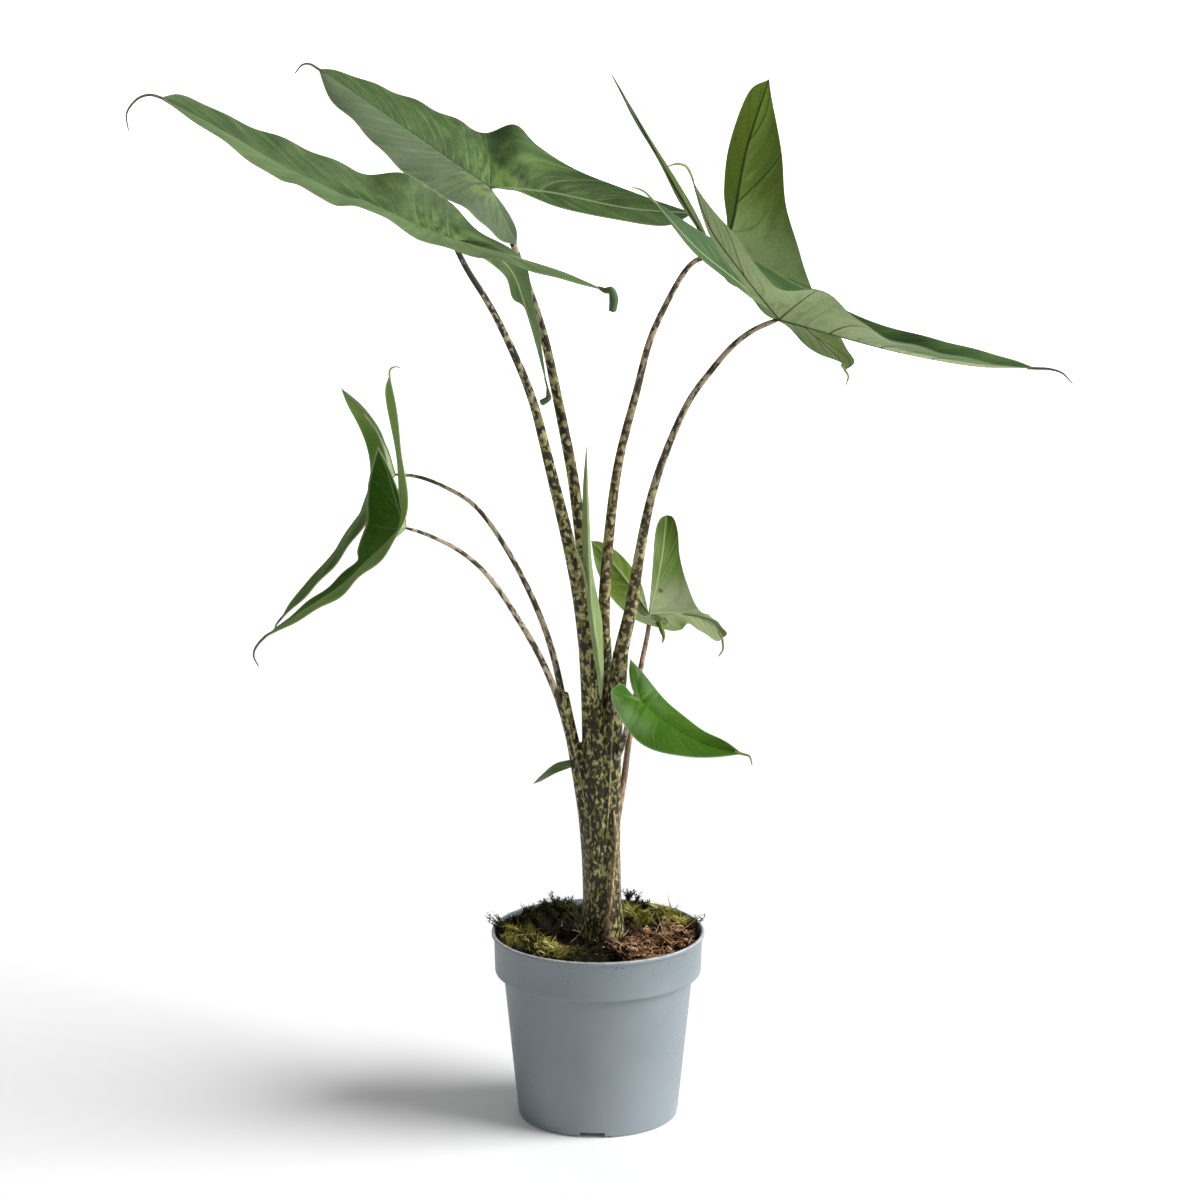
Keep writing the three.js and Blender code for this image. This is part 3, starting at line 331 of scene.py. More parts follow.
def soil_height(x, y):
    """Height of the soil: a level, plus a bell-shaped mound round the stem, plus lumps from
    products of sines."""
    mound = SOIL_MOUND * np.exp(-((x - STEM_X) ** 2 + y ** 2) / SOIL_MOUND_RADIUS ** 2)
    lumps = (np.sin(x * 0.21 + 1.3) * np.sin(y * 0.19 + 0.4)
             + 0.6 * np.sin(x * 0.47 - y * 0.31) + 0.4 * np.sin(x * 0.13 + y * 0.53 + 2))
    return SOIL_LEVEL + mound + SOIL_LUMP * lumps


def smooth(x):
    """Smooth step from 0 to 1."""
    x = np.clip(x, 0, 1)
    return x * x * (3 - 2 * x)


def roughness(x, y, cell, seed):
    """Random height from -1 to 1: random values on a square lattice with cells of the given
    size, blended between the four values round each point."""
    values = np.random.default_rng(seed).uniform(-1, 1, (LATTICE, LATTICE))
    i, j = np.floor(x / cell).astype(int), np.floor(y / cell).astype(int)
    s, t = smooth(x / cell - i), smooth(y / cell - j)
    i, next_i, j, next_j = i % LATTICE, (i + 1) % LATTICE, j % LATTICE, (j + 1) % LATTICE
    low = values[i, j] * (1 - s) + values[next_i, j] * s
    high = values[i, next_j] * (1 - s) + values[next_i, next_j] * s
    return low * (1 - t) + high * t


def scattered(count, inner, outer, rng, start=0, stop=360):
    """Random places on the soil between two distances and two angles from the pot's axis."""
    turn = np.radians(rng.uniform(start, stop, count))
    distance = np.sqrt(rng.uniform(inner ** 2, outer ** 2, count))
    x, y = distance * np.cos(turn), distance * np.sin(turn)
    free = np.hypot(x - STEM_X, y) > STEM_ROOM
    return x[free], y[free]


def lumps_at(places, sizes, rng, flat=0.75):
    """Small chunks, one at each place: an icosahedron whose corners move in and out at random
    and which is squeezed in height."""
    golden = (1 + 5 ** 0.5) / 2
    base = np.array([(-1, golden, 0), (1, golden, 0), (-1, -golden, 0), (1, -golden, 0),
                     (0, -1, golden), (0, 1, golden), (0, -1, -golden), (0, 1, -golden),
                     (golden, 0, -1), (golden, 0, 1), (-golden, 0, -1), (-golden, 0, 1)])
    base /= np.linalg.norm(base[0])
    sides = np.array([(0, 11, 5), (0, 5, 1), (0, 1, 7), (0, 7, 10), (0, 10, 11), (1, 5, 9), (5, 11, 4),
                      (11, 10, 2), (10, 7, 6), (7, 1, 8), (3, 9, 4), (3, 4, 2), (3, 2, 6), (3, 6, 8),
                      (3, 8, 9), (4, 9, 5), (2, 4, 11), (6, 2, 10), (8, 6, 7), (9, 8, 1)])
    reach = sizes[:, None] * rng.uniform(0.55, 1.25, (len(places), 12))
    corners = base[None] * reach[..., None] * np.array([1, 1, flat])
    turn = rng.uniform(0, 2 * math.pi, (len(places), 1))
    x = corners[..., 0] * np.cos(turn) - corners[..., 1] * np.sin(turn)
    y = corners[..., 0] * np.sin(turn) + corners[..., 1] * np.cos(turn)
    corners = np.stack([x, y, corners[..., 2]], -1) + places[:, None]
    faces = sides[None] + 12 * np.arange(len(places))[:, None, None]
    return corners.reshape(-1, 3), faces.reshape(-1, 3)


def strands(roots, ways, bends, lengths, radii, rings=5):
    """Thin bent threads with three sides: the centre line is root + way t length + bend t^2
    length, and the radius falls to a point at the tip."""
    t = np.linspace(0, 1, rings)
    reach = lengths[:, None, None]
    centres = (roots[:, None] + ways[:, None] * t[None, :, None] * reach
               + bends[:, None] * (t ** 2)[None, :, None] * reach)
    side = np.cross(ways, np.array([0.3, 0.5, 0.81]))
    side /= np.linalg.norm(side, axis=1)[:, None]
    other = np.cross(ways, side)
    turn = 2 * math.pi * np.arange(3) / 3
    round_it = (side[:, None, None] * np.cos(turn)[None, None, :, None]
                + other[:, None, None] * np.sin(turn)[None, None, :, None])
    thin = radii[:, None] * (1 - 0.85 * t[None] ** 2)
    corners = centres[:, :, None] + round_it * thin[..., None, None]
    one = grid_faces(rings, 3, around=True)[:, ::-1]
    one = np.concatenate([one, [[0, 1, 2][::-1]], [[3 * rings - 3, 3 * rings - 2, 3 * rings - 1]]])
    faces = one[None] + 3 * rings * np.arange(len(roots))[:, None, None]
    return corners.reshape(-1, 3), faces.reshape(-1, 3)


def gathered(parts):
    """Corners, faces, materials and marks of several parts as one mesh. Each part is (corners,
    faces, material, marks), and a mark that a part lacks is 0 there."""
    names = {}
    for _, _, _, marks in parts:
        names.update({name: np.asarray(values).ndim for name, values in marks.items()})
    corners, faces, slots, start = [], [], [], 0
    fields = {name: [] for name in names}
    for part_corners, part_faces, slot, marks in parts:
        corners.append(part_corners)
        faces.append(np.asarray(part_faces) + start)
        start += len(part_corners)
        slots.append(np.broadcast_to(slot, len(part_faces)))
        for name, dimensions in names.items():
            shape = (len(part_faces) * 3,) + (3,) * (dimensions - 1)
            fields[name].append(np.asarray(marks.get(name, np.zeros(shape))))
    marks = {name: np.concatenate(values) for name, values in fields.items()}
    return np.concatenate(corners), np.concatenate(faces), np.concatenate(slots), marks


def shades(faces, per_thing, rng):
    """Random value from 0 to 1 for each thing made of so many faces, on all their corners."""
    return np.repeat(rng.uniform(0, 1, len(faces) // per_thing), per_thing * 3)


peat = started("dark_peat")
grain = noise(object_place(), 700, 4, 0.7)
colour = mixed(ramp(grain, 0.35, 0.7), srgb("13110b"), srgb("33291b"))
colour = mixed(ramp(mark("tint"), 0.55, 1.0, 0, 0.7), colour, srgb("513a25"))
finished(colour, 0.95, 0.1, grain, 0.0006)

straw = started("pale_straw")
finished(mixed(noise(object_place(), 300), srgb("b9ab84"), srgb("ded6bd")), 0.8)

rng = np.random.default_rng(11)
soil_rings = 90
soil_segments = 220
turn = 2 * math.pi * np.arange(soil_segments) / soil_segments
body = [(0, 8.8), (70.5, 8.8), (82.6, 131.5), (88.9, 134.9)]
radius = np.concatenate([[r for r, _ in body], SOIL_RADIUS * np.linspace(1, 0, soil_rings)])
x, y = radius[:, None] * np.cos(turn), radius[:, None] * np.sin(turn)
z = soil_height(x, y) + 1.3 * roughness(x, y, 7, 1) + 1.1 * roughness(x, y, 3, 2)
z[:len(body)] = np.array([h for _, h in body])[:, None]
faces = grid_faces(len(radius), soil_segments, around=True)[:, ::-1]
z[-1] = z[-1].mean()
corners, faces, _, _ = welded(np.stack([x, y, z], -1).reshape(-1, 3), faces)
parts = [(corners, faces, 0, {})]
x, y = scattered(CRUMBS, 0, 88.5, rng)
sizes = 0.6 + 2.2 * rng.uniform(0, 1, len(x)) ** 2.5
corners, faces = lumps_at(np.stack([x, y, soil_height(x, y) + 0.5], -1), sizes, rng)
parts.append((corners, faces, 0, {"tint": shades(faces, LUMP_FACES, rng)}))
x, y = scattered(GRAINS, 20, 86, rng)
sizes = rng.uniform(0.6, 1.3, len(x))
corners, faces = lumps_at(np.stack([x, y, soil_height(x, y) + 2.2], -1), sizes, rng)
parts.append((corners, faces, 1, {}))
x, y = scattered(STRAWS, 22, 80, rng)
way = np.stack([rng.normal(0, 1, len(x)), rng.normal(0, 1, len(x)), rng.uniform(0.1, 0.7, len(x))], -1)
way /= np.linalg.norm(way, axis=1)[:, None]
feet = np.stack([x, y, soil_height(x, y) + 1.5], -1)
corners, faces = strands(feet, way, rng.normal(0, 0.2, way.shape), rng.uniform(6, 13, len(x)),
                         np.full(len(x), 0.45))
parts.append((corners, faces, 1, {}))
fan = np.array([[-16, -6], [-17, -7], [-15, -8], [-19, -9], [-24, -14], [12, -28], [-36, -30]])
way = np.array([[-0.5, 0, 1], [0.5, -0.2, 1], [-0.9, -0.4, 0.5], [0.9, -0.3, 0.2], [0.7, 0.1, 0.6],
                [1, -0.1, 0.3], [0.8, 0.3, 0.2]])
feet = np.stack([*fan.T, soil_height(*fan.T) + 2.5], -1)
corners, faces = strands(feet, way, 0.15 * way[::-1] - [0, 0, 0.2],
                         np.array([13, 12, 10, 9, 11, 12, 10.0]), np.full(len(fan), 0.55))
parts.append((corners, faces, 1, {}))
corners, faces, slots, marks = gathered(parts)
soil = put_mesh("peat_filling", corners, faces, [peat, straw], slots, marks)
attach(soil, "root")
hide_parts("soil")

# Moss and coir. Two cushions of living moss and a pad of loose coconut fibre lie on the soil.
# Short strands stand out of the moss with a few weed sprigs, and curled fibres out of the coir.

MOSS = dict(slot="moss", outer=89.5, length=(3, 7.5), thick=(0.3, 0.5), rise=(0.1, 1.0), curl=0.7,
            chips=0, reach=(1.5, 4), fibre=(0.22, 0.36), shade_sectors=[])
# Some mats list sectors between two angles, in degrees, where the moss is painted darker as painted shade.
MATS = [
    dict(MOSS, name="moss_left", piece="moss_cushion_left", seed=3, start=98, stop=276, inner=48,
         thickness=11.5, strands=2600, stars=26, curls=170, shade_sectors=[(90, 172), (245, 285)],
         sprigs=[(103, 84, 10), (107, 82, 12), (112, 84, 9), (119, 82, 12), (126, 84, 8), (173, 95, 20),
                 (176, 93, 12)]),
    dict(MOSS, name="moss_back", piece="moss_cushion_back", seed=4, start=14, stop=80, inner=46,
         thickness=11, strands=1200, stars=10, curls=90,
         sprigs=[(70, 83, 11), (64, 84, 18), (58, 84, 9), (15, 93, 14)]),
    dict(name="coir_fibre", piece="coir_pad", slot="coir", seed=5, start=286, stop=370, inner=31,
         outer=89.5, thickness=10, strands=1000, length=(4, 12), thick=(0.35, 0.8), rise=(0, 0.45),
         curl=1.1, stars=0, chips=700, curls=420, reach=(2.5, 7.5), fibre=(0.35, 0.7), shade_sectors=[], sprigs=[]),
]
MAT_BOTTOM = 150.0
FURTHEST_TIP = 90.5
STEM_CLEARANCE = 18
STAR_FRONDS = 44
SPRIG_SHOOTS = 7
SHOOT_LEAFLETS = 22


def mat_point(mat, u, v):
    """Place on the soil at share u along a mat's sector and v across it, from an inner edge
    made ragged by sines to a round outer edge."""
    turn = np.radians(mat["start"] + (mat["stop"] - mat["start"]) * u)
    ragged = 3.2 * np.sin(u * 23 + mat["seed"]) + 2.2 * np.sin(u * 51)
    radius = mat["inner"] + ragged + (mat["outer"] - mat["inner"] - ragged) * v
    return radius * np.cos(turn), radius * np.sin(turn)


def mat_lumps(x, y):
    """Height of the clumps of a mat, from 0 in the gaps to 1 on the clumps, from two sizes of
    random lattice."""
    return smooth(0.5 + 0.62 * roughness(x, y, 9, 6) + 0.5 * roughness(x, y, 4.5, 7))


def mat_height(mat, u, v):
    """Point on a mat: the soil's height plus a body that slopes up from its inner edge and its
    two ends and stays thick up to the pot's wall, times the height of its clumps."""
    x, y = mat_point(mat, u, v)
    body = smooth(v / 0.35) * smooth((1 - v) / 0.04) * smooth(u / 0.08) * smooth((1 - u) / 0.08)
    rise = mat["thickness"] * body * (0.35 + 0.75 * mat_lumps(x, y))
    return np.stack([x, y, soil_height(x, y) + 0.6 + rise], -1)


def mat_painted_light(mat, x, y):
    """How bright a mat is painted, from 0.3 in its sectors of painted shade to 1 elsewhere, with soft
    borders.
    """
    turn = np.degrees(np.arctan2(y, x)) % 360
    light = np.ones_like(turn)
    for start, stop in mat["shade_sectors"]:
        light -= 0.7 * smooth((turn - start) / 15 + 0.5) * smooth((stop - turn) / 15 + 0.5)
    return light


def loops(centres, reaches, sweeps, radii, rng, steps=14):
    """Curled fibres: each goes round its centre along an arc whose reach shrinks, in a plane
    tilted at random, as a tube with four sides that thins to both ends."""
    count = len(centres)
    tilt = rng.normal(0, 1, (count, 3)) * np.array([0.6, 0.6, 0.3]) + np.array([0, 0, 1])
    axis = tilt / np.linalg.norm(tilt, axis=1)[:, None]
    east = np.cross(axis, rng.normal(0, 1, (count, 3)))
    east /= np.linalg.norm(east, axis=1)[:, None]
    north = np.cross(axis, east)
    t = np.linspace(0, 1, steps)
    turn = sweeps[:, None] * t
    out = east[:, None] * np.cos(turn)[..., None] + north[:, None] * np.sin(turn)[..., None]
    path = centres[:, None] + out * (reaches[:, None] * (1 - 0.4 * t))[..., None]
    thick = radii[:, None] * (0.15 + 0.85 * np.sin(math.pi * t) ** 0.5)
    around = 2 * math.pi * np.arange(4) / 4
    section = (out[:, :, None] * np.cos(around)[None, None, :, None]
               + axis[:, None, None] * np.sin(around)[None, None, :, None])
    corners = path[:, :, None] + section * thick[..., None, None]
    last = 4 * (steps - 1)
    one = np.concatenate([grid_faces(steps, 4, around=True), [(0, 1, 2), (0, 2, 3)],
                          [(last, last + 2, last + 1), (last, last + 3, last + 2)]])
    faces = one[None] + 4 * steps * np.arange(count)[:, None, None]
    return corners.reshape(-1, 3), faces.reshape(-1, 3)


def closed_sheet(top, bottom, faces):
    """Closed body between two skins that share the same faces, with a wall along every edge
    that only one face has. Says for each face whether it is top 0, bottom 1 or wall 2."""
    n = len(top)
    edges = faces[:, [0, 1, 1, 2, 2, 0]].reshape(-1, 2).astype(np.int64)
    rim = edges[~np.isin(edges[:, 0] * n + edges[:, 1], edges[:, 1] * n + edges[:, 0])]
    a, b = rim[:, 0], rim[:, 1]
    wall = np.concatenate([np.stack([a, a + n, b + n], -1), np.stack([a, b + n, b], -1)])
    kinds = np.repeat([0, 1, 2], [len(faces), len(faces), len(wall)])
    return np.concatenate([top, bottom]), np.concatenate([faces, faces[:, ::-1] + n, wall]), kinds


def leaflets(bases, ways, lengths, widths):
    """Small pointed leaves: six corners each, a base, two sides, a tip and a thin middle."""
    up = np.array([0, 0, 1.0])
    side = np.cross(ways, up)
    side /= np.linalg.norm(side, axis=1)[:, None]
    lift = np.cross(side, ways)
    reach, half = lengths[:, None], widths[:, None] / 2
    middle = bases + 0.45 * reach * ways
    corners = np.stack([bases, middle + half * side, bases + reach * ways, middle - half * side,
                        middle + 0.22 * lift - 0.1 * half * lift, middle - 0.25 * lift], 1)
    one = np.array([(0, 4, 1), (1, 4, 2), (2, 4, 3), (3, 4, 0), (1, 5, 0), (2, 5, 1), (3, 5, 2), (0, 5, 3)])
    faces = one[None, :, ::-1] + 6 * np.arange(len(bases))[:, None, None]
    return corners.reshape(-1, 3), faces.reshape(-1, 3)


mat_looks = {}
for slot, name, scale, patch, light, lightest, gap, colours, dullness in (
        ("moss", "living_moss", 38, (0.42, 0.56), (0.3, 0.8, 0, 0.85), (0.84, 0.96, 0, 0.85),
         (0.66, 0.3, 0, 0.95), ("24220f", "5a5720", "bab04e", "e2dca6", "0d0c06"), 0.8),
        ("coir", "coir_fibres", 110, (0.4, 0.6), (0.35, 0.85, 0, 0.85), (0.88, 0.99, 0, 0.8),
         (0.72, 0.35, 0, 0.95), ("241409", "86603c", "dcb48a", "f0e0c6", "100a05"), 0.75)):
    mat_looks[slot] = started(name)
    # The last, near-black colour is painted shade in the hollows between clumps and in shaded sectors; on
    # coir chips it is a random darker tone.
    place, tint, painted_light_and_tone = object_place(), mark("tint"), mark("painted_light_and_tone")
    colour = mixed(ramp(noise(place, scale, 3), *patch), srgb(colours[0]), srgb(colours[1]))
    # The palest colour, on the most tinted strands, is partly their own pale tips and partly a painted
    # highlight.
    for value, step, added_colour in (
            (tint, light, colours[2]), (tint, lightest, colours[3]), (painted_light_and_tone, gap, colours[4])):
        colour = mixed(ramp(value, *step), colour, srgb(added_colour))
    finished(colour, dullness, 0.12, noise(place, 900, 3), 0.0006)

sprig = started("weed_sprig")
finished(mixed(noise(object_place(), 250), srgb("161c0c"), srgb("3a4524")), 0.7, 0.15)

for mat in MATS:
    rng = np.random.default_rng(mat["seed"])
    rows, columns = 4 * round((mat["stop"] - mat["start"]) / 5) + 1, 41
    u, v = np.meshgrid(np.linspace(0, 1, rows), np.linspace(0, 1, columns), indexing="ij")
    top = mat_height(mat, u, v).reshape(-1, 3)
    bottom = np.concatenate([top[:, :2], np.full((len(top), 1), MAT_BOTTOM)], 1)
    corners, faces, _ = closed_sheet(top, bottom, grid_faces(rows, columns)[:, ::-1])
    # Corners of the sheet are darker where its clumps are low and in shaded sectors: painted shade.
    clumps = mat_lumps(*corners[:, :2].T) * mat_painted_light(mat, *corners[:, :2].T)
    parts = [(corners, faces, 0, {"tint": np.full(faces.size, 0.2), "painted_light_and_tone": clumps[faces.ravel()]})]
    count = mat["strands"]
    u, v = rng.uniform(0.015, 0.985, count), rng.uniform(0.03, 0.97, count)
    clumps = mat_lumps(*mat_point(mat, u, v))
    kept = rng.uniform(0, 1, count) < 0.05 + clumps
    u, v, clumps = u[kept], v[kept], clumps[kept]
    count = len(u)
    roots = mat_height(mat, u, v) - np.array([0, 0, 0.8])
    heading = rng.uniform(0, 2 * math.pi, count)
    rise = rng.uniform(*mat["rise"], count)
    ways = np.stack([np.cos(heading), np.sin(heading), rise], -1)
    ways /= np.linalg.norm(ways, axis=1)[:, None]
    bends = rng.normal(0, mat["curl"], ways.shape) - np.array([0, 0, 0.22])
    lengths = rng.uniform(*mat["length"], count) * rng.uniform(0.5, 1, count)
    tips = roots + (ways + bends) * lengths[:, None]
    inside = np.hypot(tips[:, 0], tips[:, 1]) < FURTHEST_TIP
    inside &= np.hypot(tips[:, 0] - STEM_X, tips[:, 1]) > STEM_CLEARANCE
    corners, faces = strands(roots[inside], ways[inside], bends[inside], lengths[inside],
                             rng.uniform(*mat["thick"], count)[inside], 7)
    light = np.repeat(mat_painted_light(mat, *roots[inside, :2].T), STRAND_FACES * 3)
    # Strands rooted low between clumps or in shaded sectors are painted darker: painted shade.
    painted_light_and_tone = np.repeat(0.3 + 0.7 * clumps[inside], STRAND_FACES * 3) * (0.4 + 0.6 * light)
    tint = shades(faces, STRAND_FACES, rng) * 0.95 * light
    parts.append((corners, faces, 0, {"tint": tint, "painted_light_and_tone": painted_light_and_tone}))
    for _ in range(mat["stars"]):
        centre = mat_height(mat, rng.uniform(0.05, 0.95, 1), rng.uniform(0.35, 0.95, 1))
        heading = rng.uniform(0, 2 * math.pi, STAR_FRONDS)
        ways = np.stack([np.cos(heading), np.sin(heading), rng.uniform(0.3, 1.2, STAR_FRONDS)], -1)
        lengths = rng.uniform(3.5, 9, STAR_FRONDS)
        bends = rng.normal(0, 0.3, ways.shape) - np.array([0, 0, 0.5])
        tips = centre + (ways + bends) * lengths[:, None]
        inside = np.hypot(tips[:, 0], tips[:, 1]) < FURTHEST_TIP
        corners, faces = strands(centre + ways[inside], ways[inside], bends[inside], lengths[inside],
                                 rng.uniform(0.18, 0.36, inside.sum()), 7)
        light = mat_painted_light(mat, *centre[0, :2])
        tint = (0.6 + 0.4 * shades(faces, STRAND_FACES, rng)) * light
        painted_light_and_tone = np.full(faces.size, 0.25 + 0.75 * light)
        parts.append((corners, faces, 0, {"tint": tint, "painted_light_and_tone": painted_light_and_tone}))
    if mat["chips"]:
        u, v = rng.uniform(0.03, 0.97, mat["chips"]), rng.uniform(0.06, 0.95, mat["chips"])
        sizes = 0.9 + 2.6 * rng.uniform(0, 1, mat["chips"]) ** 2
        corners, faces = lumps_at(mat_height(mat, u, v) + np.array([0, 0, 0.4]), sizes, rng, 0.6)
        tint = 0.8 * shades(faces, LUMP_FACES, rng)
        painted_light_and_tone = 0.4 + 0.6 * shades(faces, LUMP_FACES, rng)
        parts.append((corners, faces, 0, {"tint": tint, "painted_light_and_tone": painted_light_and_tone}))
    count = mat["curls"]
    u, v = rng.uniform(0.05, 0.95, count), rng.uniform(0.08, 0.9, count)
    kept = rng.uniform(0, 1, count) < 0.15 + mat_lumps(*mat_point(mat, u, v))
    centres = mat_height(mat, u[kept], v[kept]) + np.array([0, 0, 1.0])
    count = len(centres)
    corners, faces = loops(centres, rng.uniform(*mat["reach"], count), rng.uniform(1.5, 5, count),
                           rng.uniform(*mat["fibre"], count), rng)
    light = np.repeat(mat_painted_light(mat, *centres[:, :2].T), LOOP_FACES * 3)
    tint = (0.25 + 0.75 * shades(faces, LOOP_FACES, rng)) * light
    parts.append((corners, faces, 0, {"tint": tint, "painted_light_and_tone": 0.25 + 0.75 * light}))
    for angle, distance, height in mat["sprigs"]:
        turn = math.radians(angle)
        u = (angle - mat["start"]) / (mat["stop"] - mat["start"])
        foot = mat_height(mat, np.array(u), np.array(0.8))
        head = np.array([distance * math.cos(turn), distance * math.sin(turn), foot[2] + height])
        each = (SPRIG_SHOOTS, 3)
        feet = foot + rng.normal(0, 1.4, each) * [1, 1, 0]
        ways = (head - foot)[None] / height + rng.normal(0, 0.3, each) * [1, 1, 0.2]
        bends = rng.normal(0, 0.2, each) * [1, 1, 0.3]
        tall = height * rng.uniform(0.45, 1, SPRIG_SHOOTS)
        tall[0] = height
        corners, faces = strands(feet, ways, bends, tall, np.full(SPRIG_SHOOTS, 0.6), 9)
        parts.append((corners, faces, 1, {}))
        t = np.tile(np.linspace(0.25, 1, SHOOT_LEAFLETS), SPRIG_SHOOTS)
        which = np.repeat(np.arange(SPRIG_SHOOTS), SHOOT_LEAFLETS)
        spots = (feet[which] + ways[which] * (t * tall[which])[:, None]
                 + bends[which] * (t ** 2 * tall[which])[:, None])
        out = rng.normal(0, 1, (len(t), 3)) * np.array([1, 1, 0.3]) + np.array([0, 0, 0.6])
        out /= np.linalg.norm(out, axis=1)[:, None]
        corners, faces = leaflets(spots, out, rng.uniform(2, 4.2, len(t)), rng.uniform(1, 1.8, len(t)))
        parts.append((corners, faces, 1, {}))
    corners, faces, slots, marks = gathered(parts)
    cushion = put_mesh(mat["piece"], corners, faces, [mat_looks[mat["slot"]], sprig], slots, marks)
    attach(cushion, "root")
    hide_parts(mat["name"])

# Stem. Clasping sheaths of the leaf stalks, grown together into one fleshy stem that goes down
# through the soil to the corm. Pale dry sheath edges run up its front.

SHEATHS = [
    dict(path=[[-9, -11, 432], [-5, -9, 376], [-2, -8, 300], [0, -7, 230], [1, -5, 165]],
         radii=[8, 10, 12, 12.5, 13]),
    dict(path=[[-6, 10, 436], [-4, 8, 390], [-1, 8, 320], [1, 7, 240], [1, 6, 165]],
         radii=[7, 8.5, 10.5, 12, 13]),
    dict(path=[[5, 9, 436], [6, 8, 395], [8, 7, 330], [9, 7, 250], [9, 6, 165]],
         radii=[6.6, 8, 9.5, 11, 12.5]),
    dict(path=[[20, -12, 428], [17, -10, 395], [13, -8, 360], [10, -7, 300], [9, -6, 230], [10, -5, 165]],
         radii=[6.8, 8.4, 9.6, 10.5, 11, 13]),
    dict(path=[[-32, -7, 389], [-28, -8, 371], [-22, -8, 345], [-16, -7, 312], [-9, -5, 270], [-3, -4, 220],
               [1, -3, 165]],
         radii=[6.2, 5.6, 6.3, 7.4, 9.5, 12, 15]),
    dict(path=[[11, -11, 282], [12, -14, 240], [11, -14, 200], [9, -13, 165]], radii=[5.4, 7, 8.5, 10]),
]
CORM = dict(path=[[4, 0, 196], [4, 0, 170], [4, 0, 145], [4, 0, 120]], radii=[17, 20, 21, 15])
SHEATH_EDGES = [
    dict(path=[[-31, -13, 392], [-28, -13.5, 372], [-22, -14.5, 345], [-16, -15, 318], [-12, -14, 292]],
         radii=[0.5, 0.8, 0.8, 0.7, 0.3]),
    dict(path=[[20, -18.5, 424], [17, -18, 395], [13, -17, 360], [10, -17.3, 300], [7, -17.6, 250]],
         radii=[0.4, 0.6, 0.7, 0.7, 0.4]),
    dict(path=[[14, -19.2, 284], [16.2, -20, 262], [14.5, -21.5, 240], [12.5, -22, 215], [9, -22, 180]],
         radii=[0.8, 1.1, 1.1, 1, 0.8]),
]
SHEATH_STEPS = 48
SHEATH_SIDES = 40
EDGE_STEPS = 60
EDGE_SIDES = 8
CAP_RISE = 0.35
DARK_REACH = 0.13
PATTERN_SHIFT = 0.37
SKIN_CELL = 1.1
SKIN_ROUNDS = 3


def spaced(points, steps, first=0, last=None):
    """Points at equal distances along the uniform Catmull-Rom curve through the given points,
    between the points numbered first and last. The curve's ends run straight on."""
    points = np.array(points, float)
    last = len(points) - 1 if last is None else last
    knots = np.concatenate([[2 * points[0] - points[1]], points, [2 * points[-1] - points[-2]]])
    place = np.linspace(first, last, 60 * (last - first) + 1)
    i = np.minimum(place.astype(int), len(points) - 2)
    t = (place - i)[:, None]
    a, b, c, d = knots[i], knots[i + 1], knots[i + 2], knots[i + 3]
    m0, m1 = (c - a) / 2, (d - b) / 2
    fine = b + m0 * t + (-3 * b + 3 * c - 2 * m0 - m1) * t ** 2 + (2 * b - 2 * c + m0 + m1) * t ** 3
    gone = np.concatenate([[0], np.cumsum(np.linalg.norm(np.diff(fine, axis=0), axis=1))])
    wanted = np.linspace(0, gone[-1], steps + 1)
    return np.stack([np.interp(wanted, gone, fine[:, k]) for k in range(3)], -1)


def spread(values, count):
    """That many values read at equal shares along an evenly spread list of values."""
    return np.interp(np.linspace(0, 1, count), np.linspace(0, 1, len(values)), values)


def tube(path, radii, sides, start=0.0, pattern=0, darker=0.0, pink=0.0):
    """Closed round rod: centre + radius (side cos t + other sin t), with rounded-off end caps.
    Its marks, in metres, are bark, which is (radius cos t, radius sin t, distance along) with x
    moved on for each new pattern, and girth, the radius. Its other marks are darker, which fades
    from its start, and pink."""
    path, radii = np.asarray(path, float), np.asarray(radii, float)
    tangent = np.gradient(path, axis=0)
    tangent /= np.linalg.norm(tangent, axis=1)[:, None]
    side = np.cross(np.array([0.12, 0.97, 0.21]), tangent)
    side /= np.linalg.norm(side, axis=1)[:, None]
    other = np.cross(tangent, side)
    turn = 2 * math.pi * np.arange(sides) / sides
    ring = side[:, None] * np.cos(turn)[:, None] + other[:, None] * np.sin(turn)[:, None]
    wall = path[:, None] + radii[:, None, None] * ring
    head = path[:1] - CAP_RISE * radii[0] * tangent[:1]
    foot = path[-1:] + CAP_RISE * radii[-1] * tangent[-1:]
    corners = np.concatenate([wall.reshape(-1, 3), head, foot])
    faces = grid_faces(len(path), sides, around=True)[:, ::-1]
    k, n = np.arange(sides), (len(path) - 1) * sides
    after = (k + 1) % sides
    tip, end = len(corners) - 2, len(corners) - 1
    faces = np.concatenate([faces, np.stack([k, np.full(sides, tip), after], -1),
                            np.stack([n + k, n + after, np.full(sides, end)], -1)])
    gone = start + np.concatenate([[0], np.cumsum(np.linalg.norm(np.diff(path, axis=0), axis=1))])
    bark = np.stack([radii[:, None] * np.cos(turn), radii[:, None] * np.sin(turn),
                     gone[:, None] + 0 * turn], -1).reshape(-1, 3)
    bark = np.concatenate([bark, [[0, 0, gone[0]], [0, 0, gone[-1]]]]) * MM
    girth = np.concatenate([np.repeat(radii, sides), radii[[0, -1]]]) * MM
    fade = darker * np.clip(1 - bark[:, 2] / DARK_REACH, 0, 1)
    bark[:, 0] += PATTERN_SHIFT * pattern
    corner = faces.ravel()
    return corners, faces, dict(bark=bark[corner], girth=girth[corner], darker=fade[corner],
                                pink=np.full(len(corner), pink))


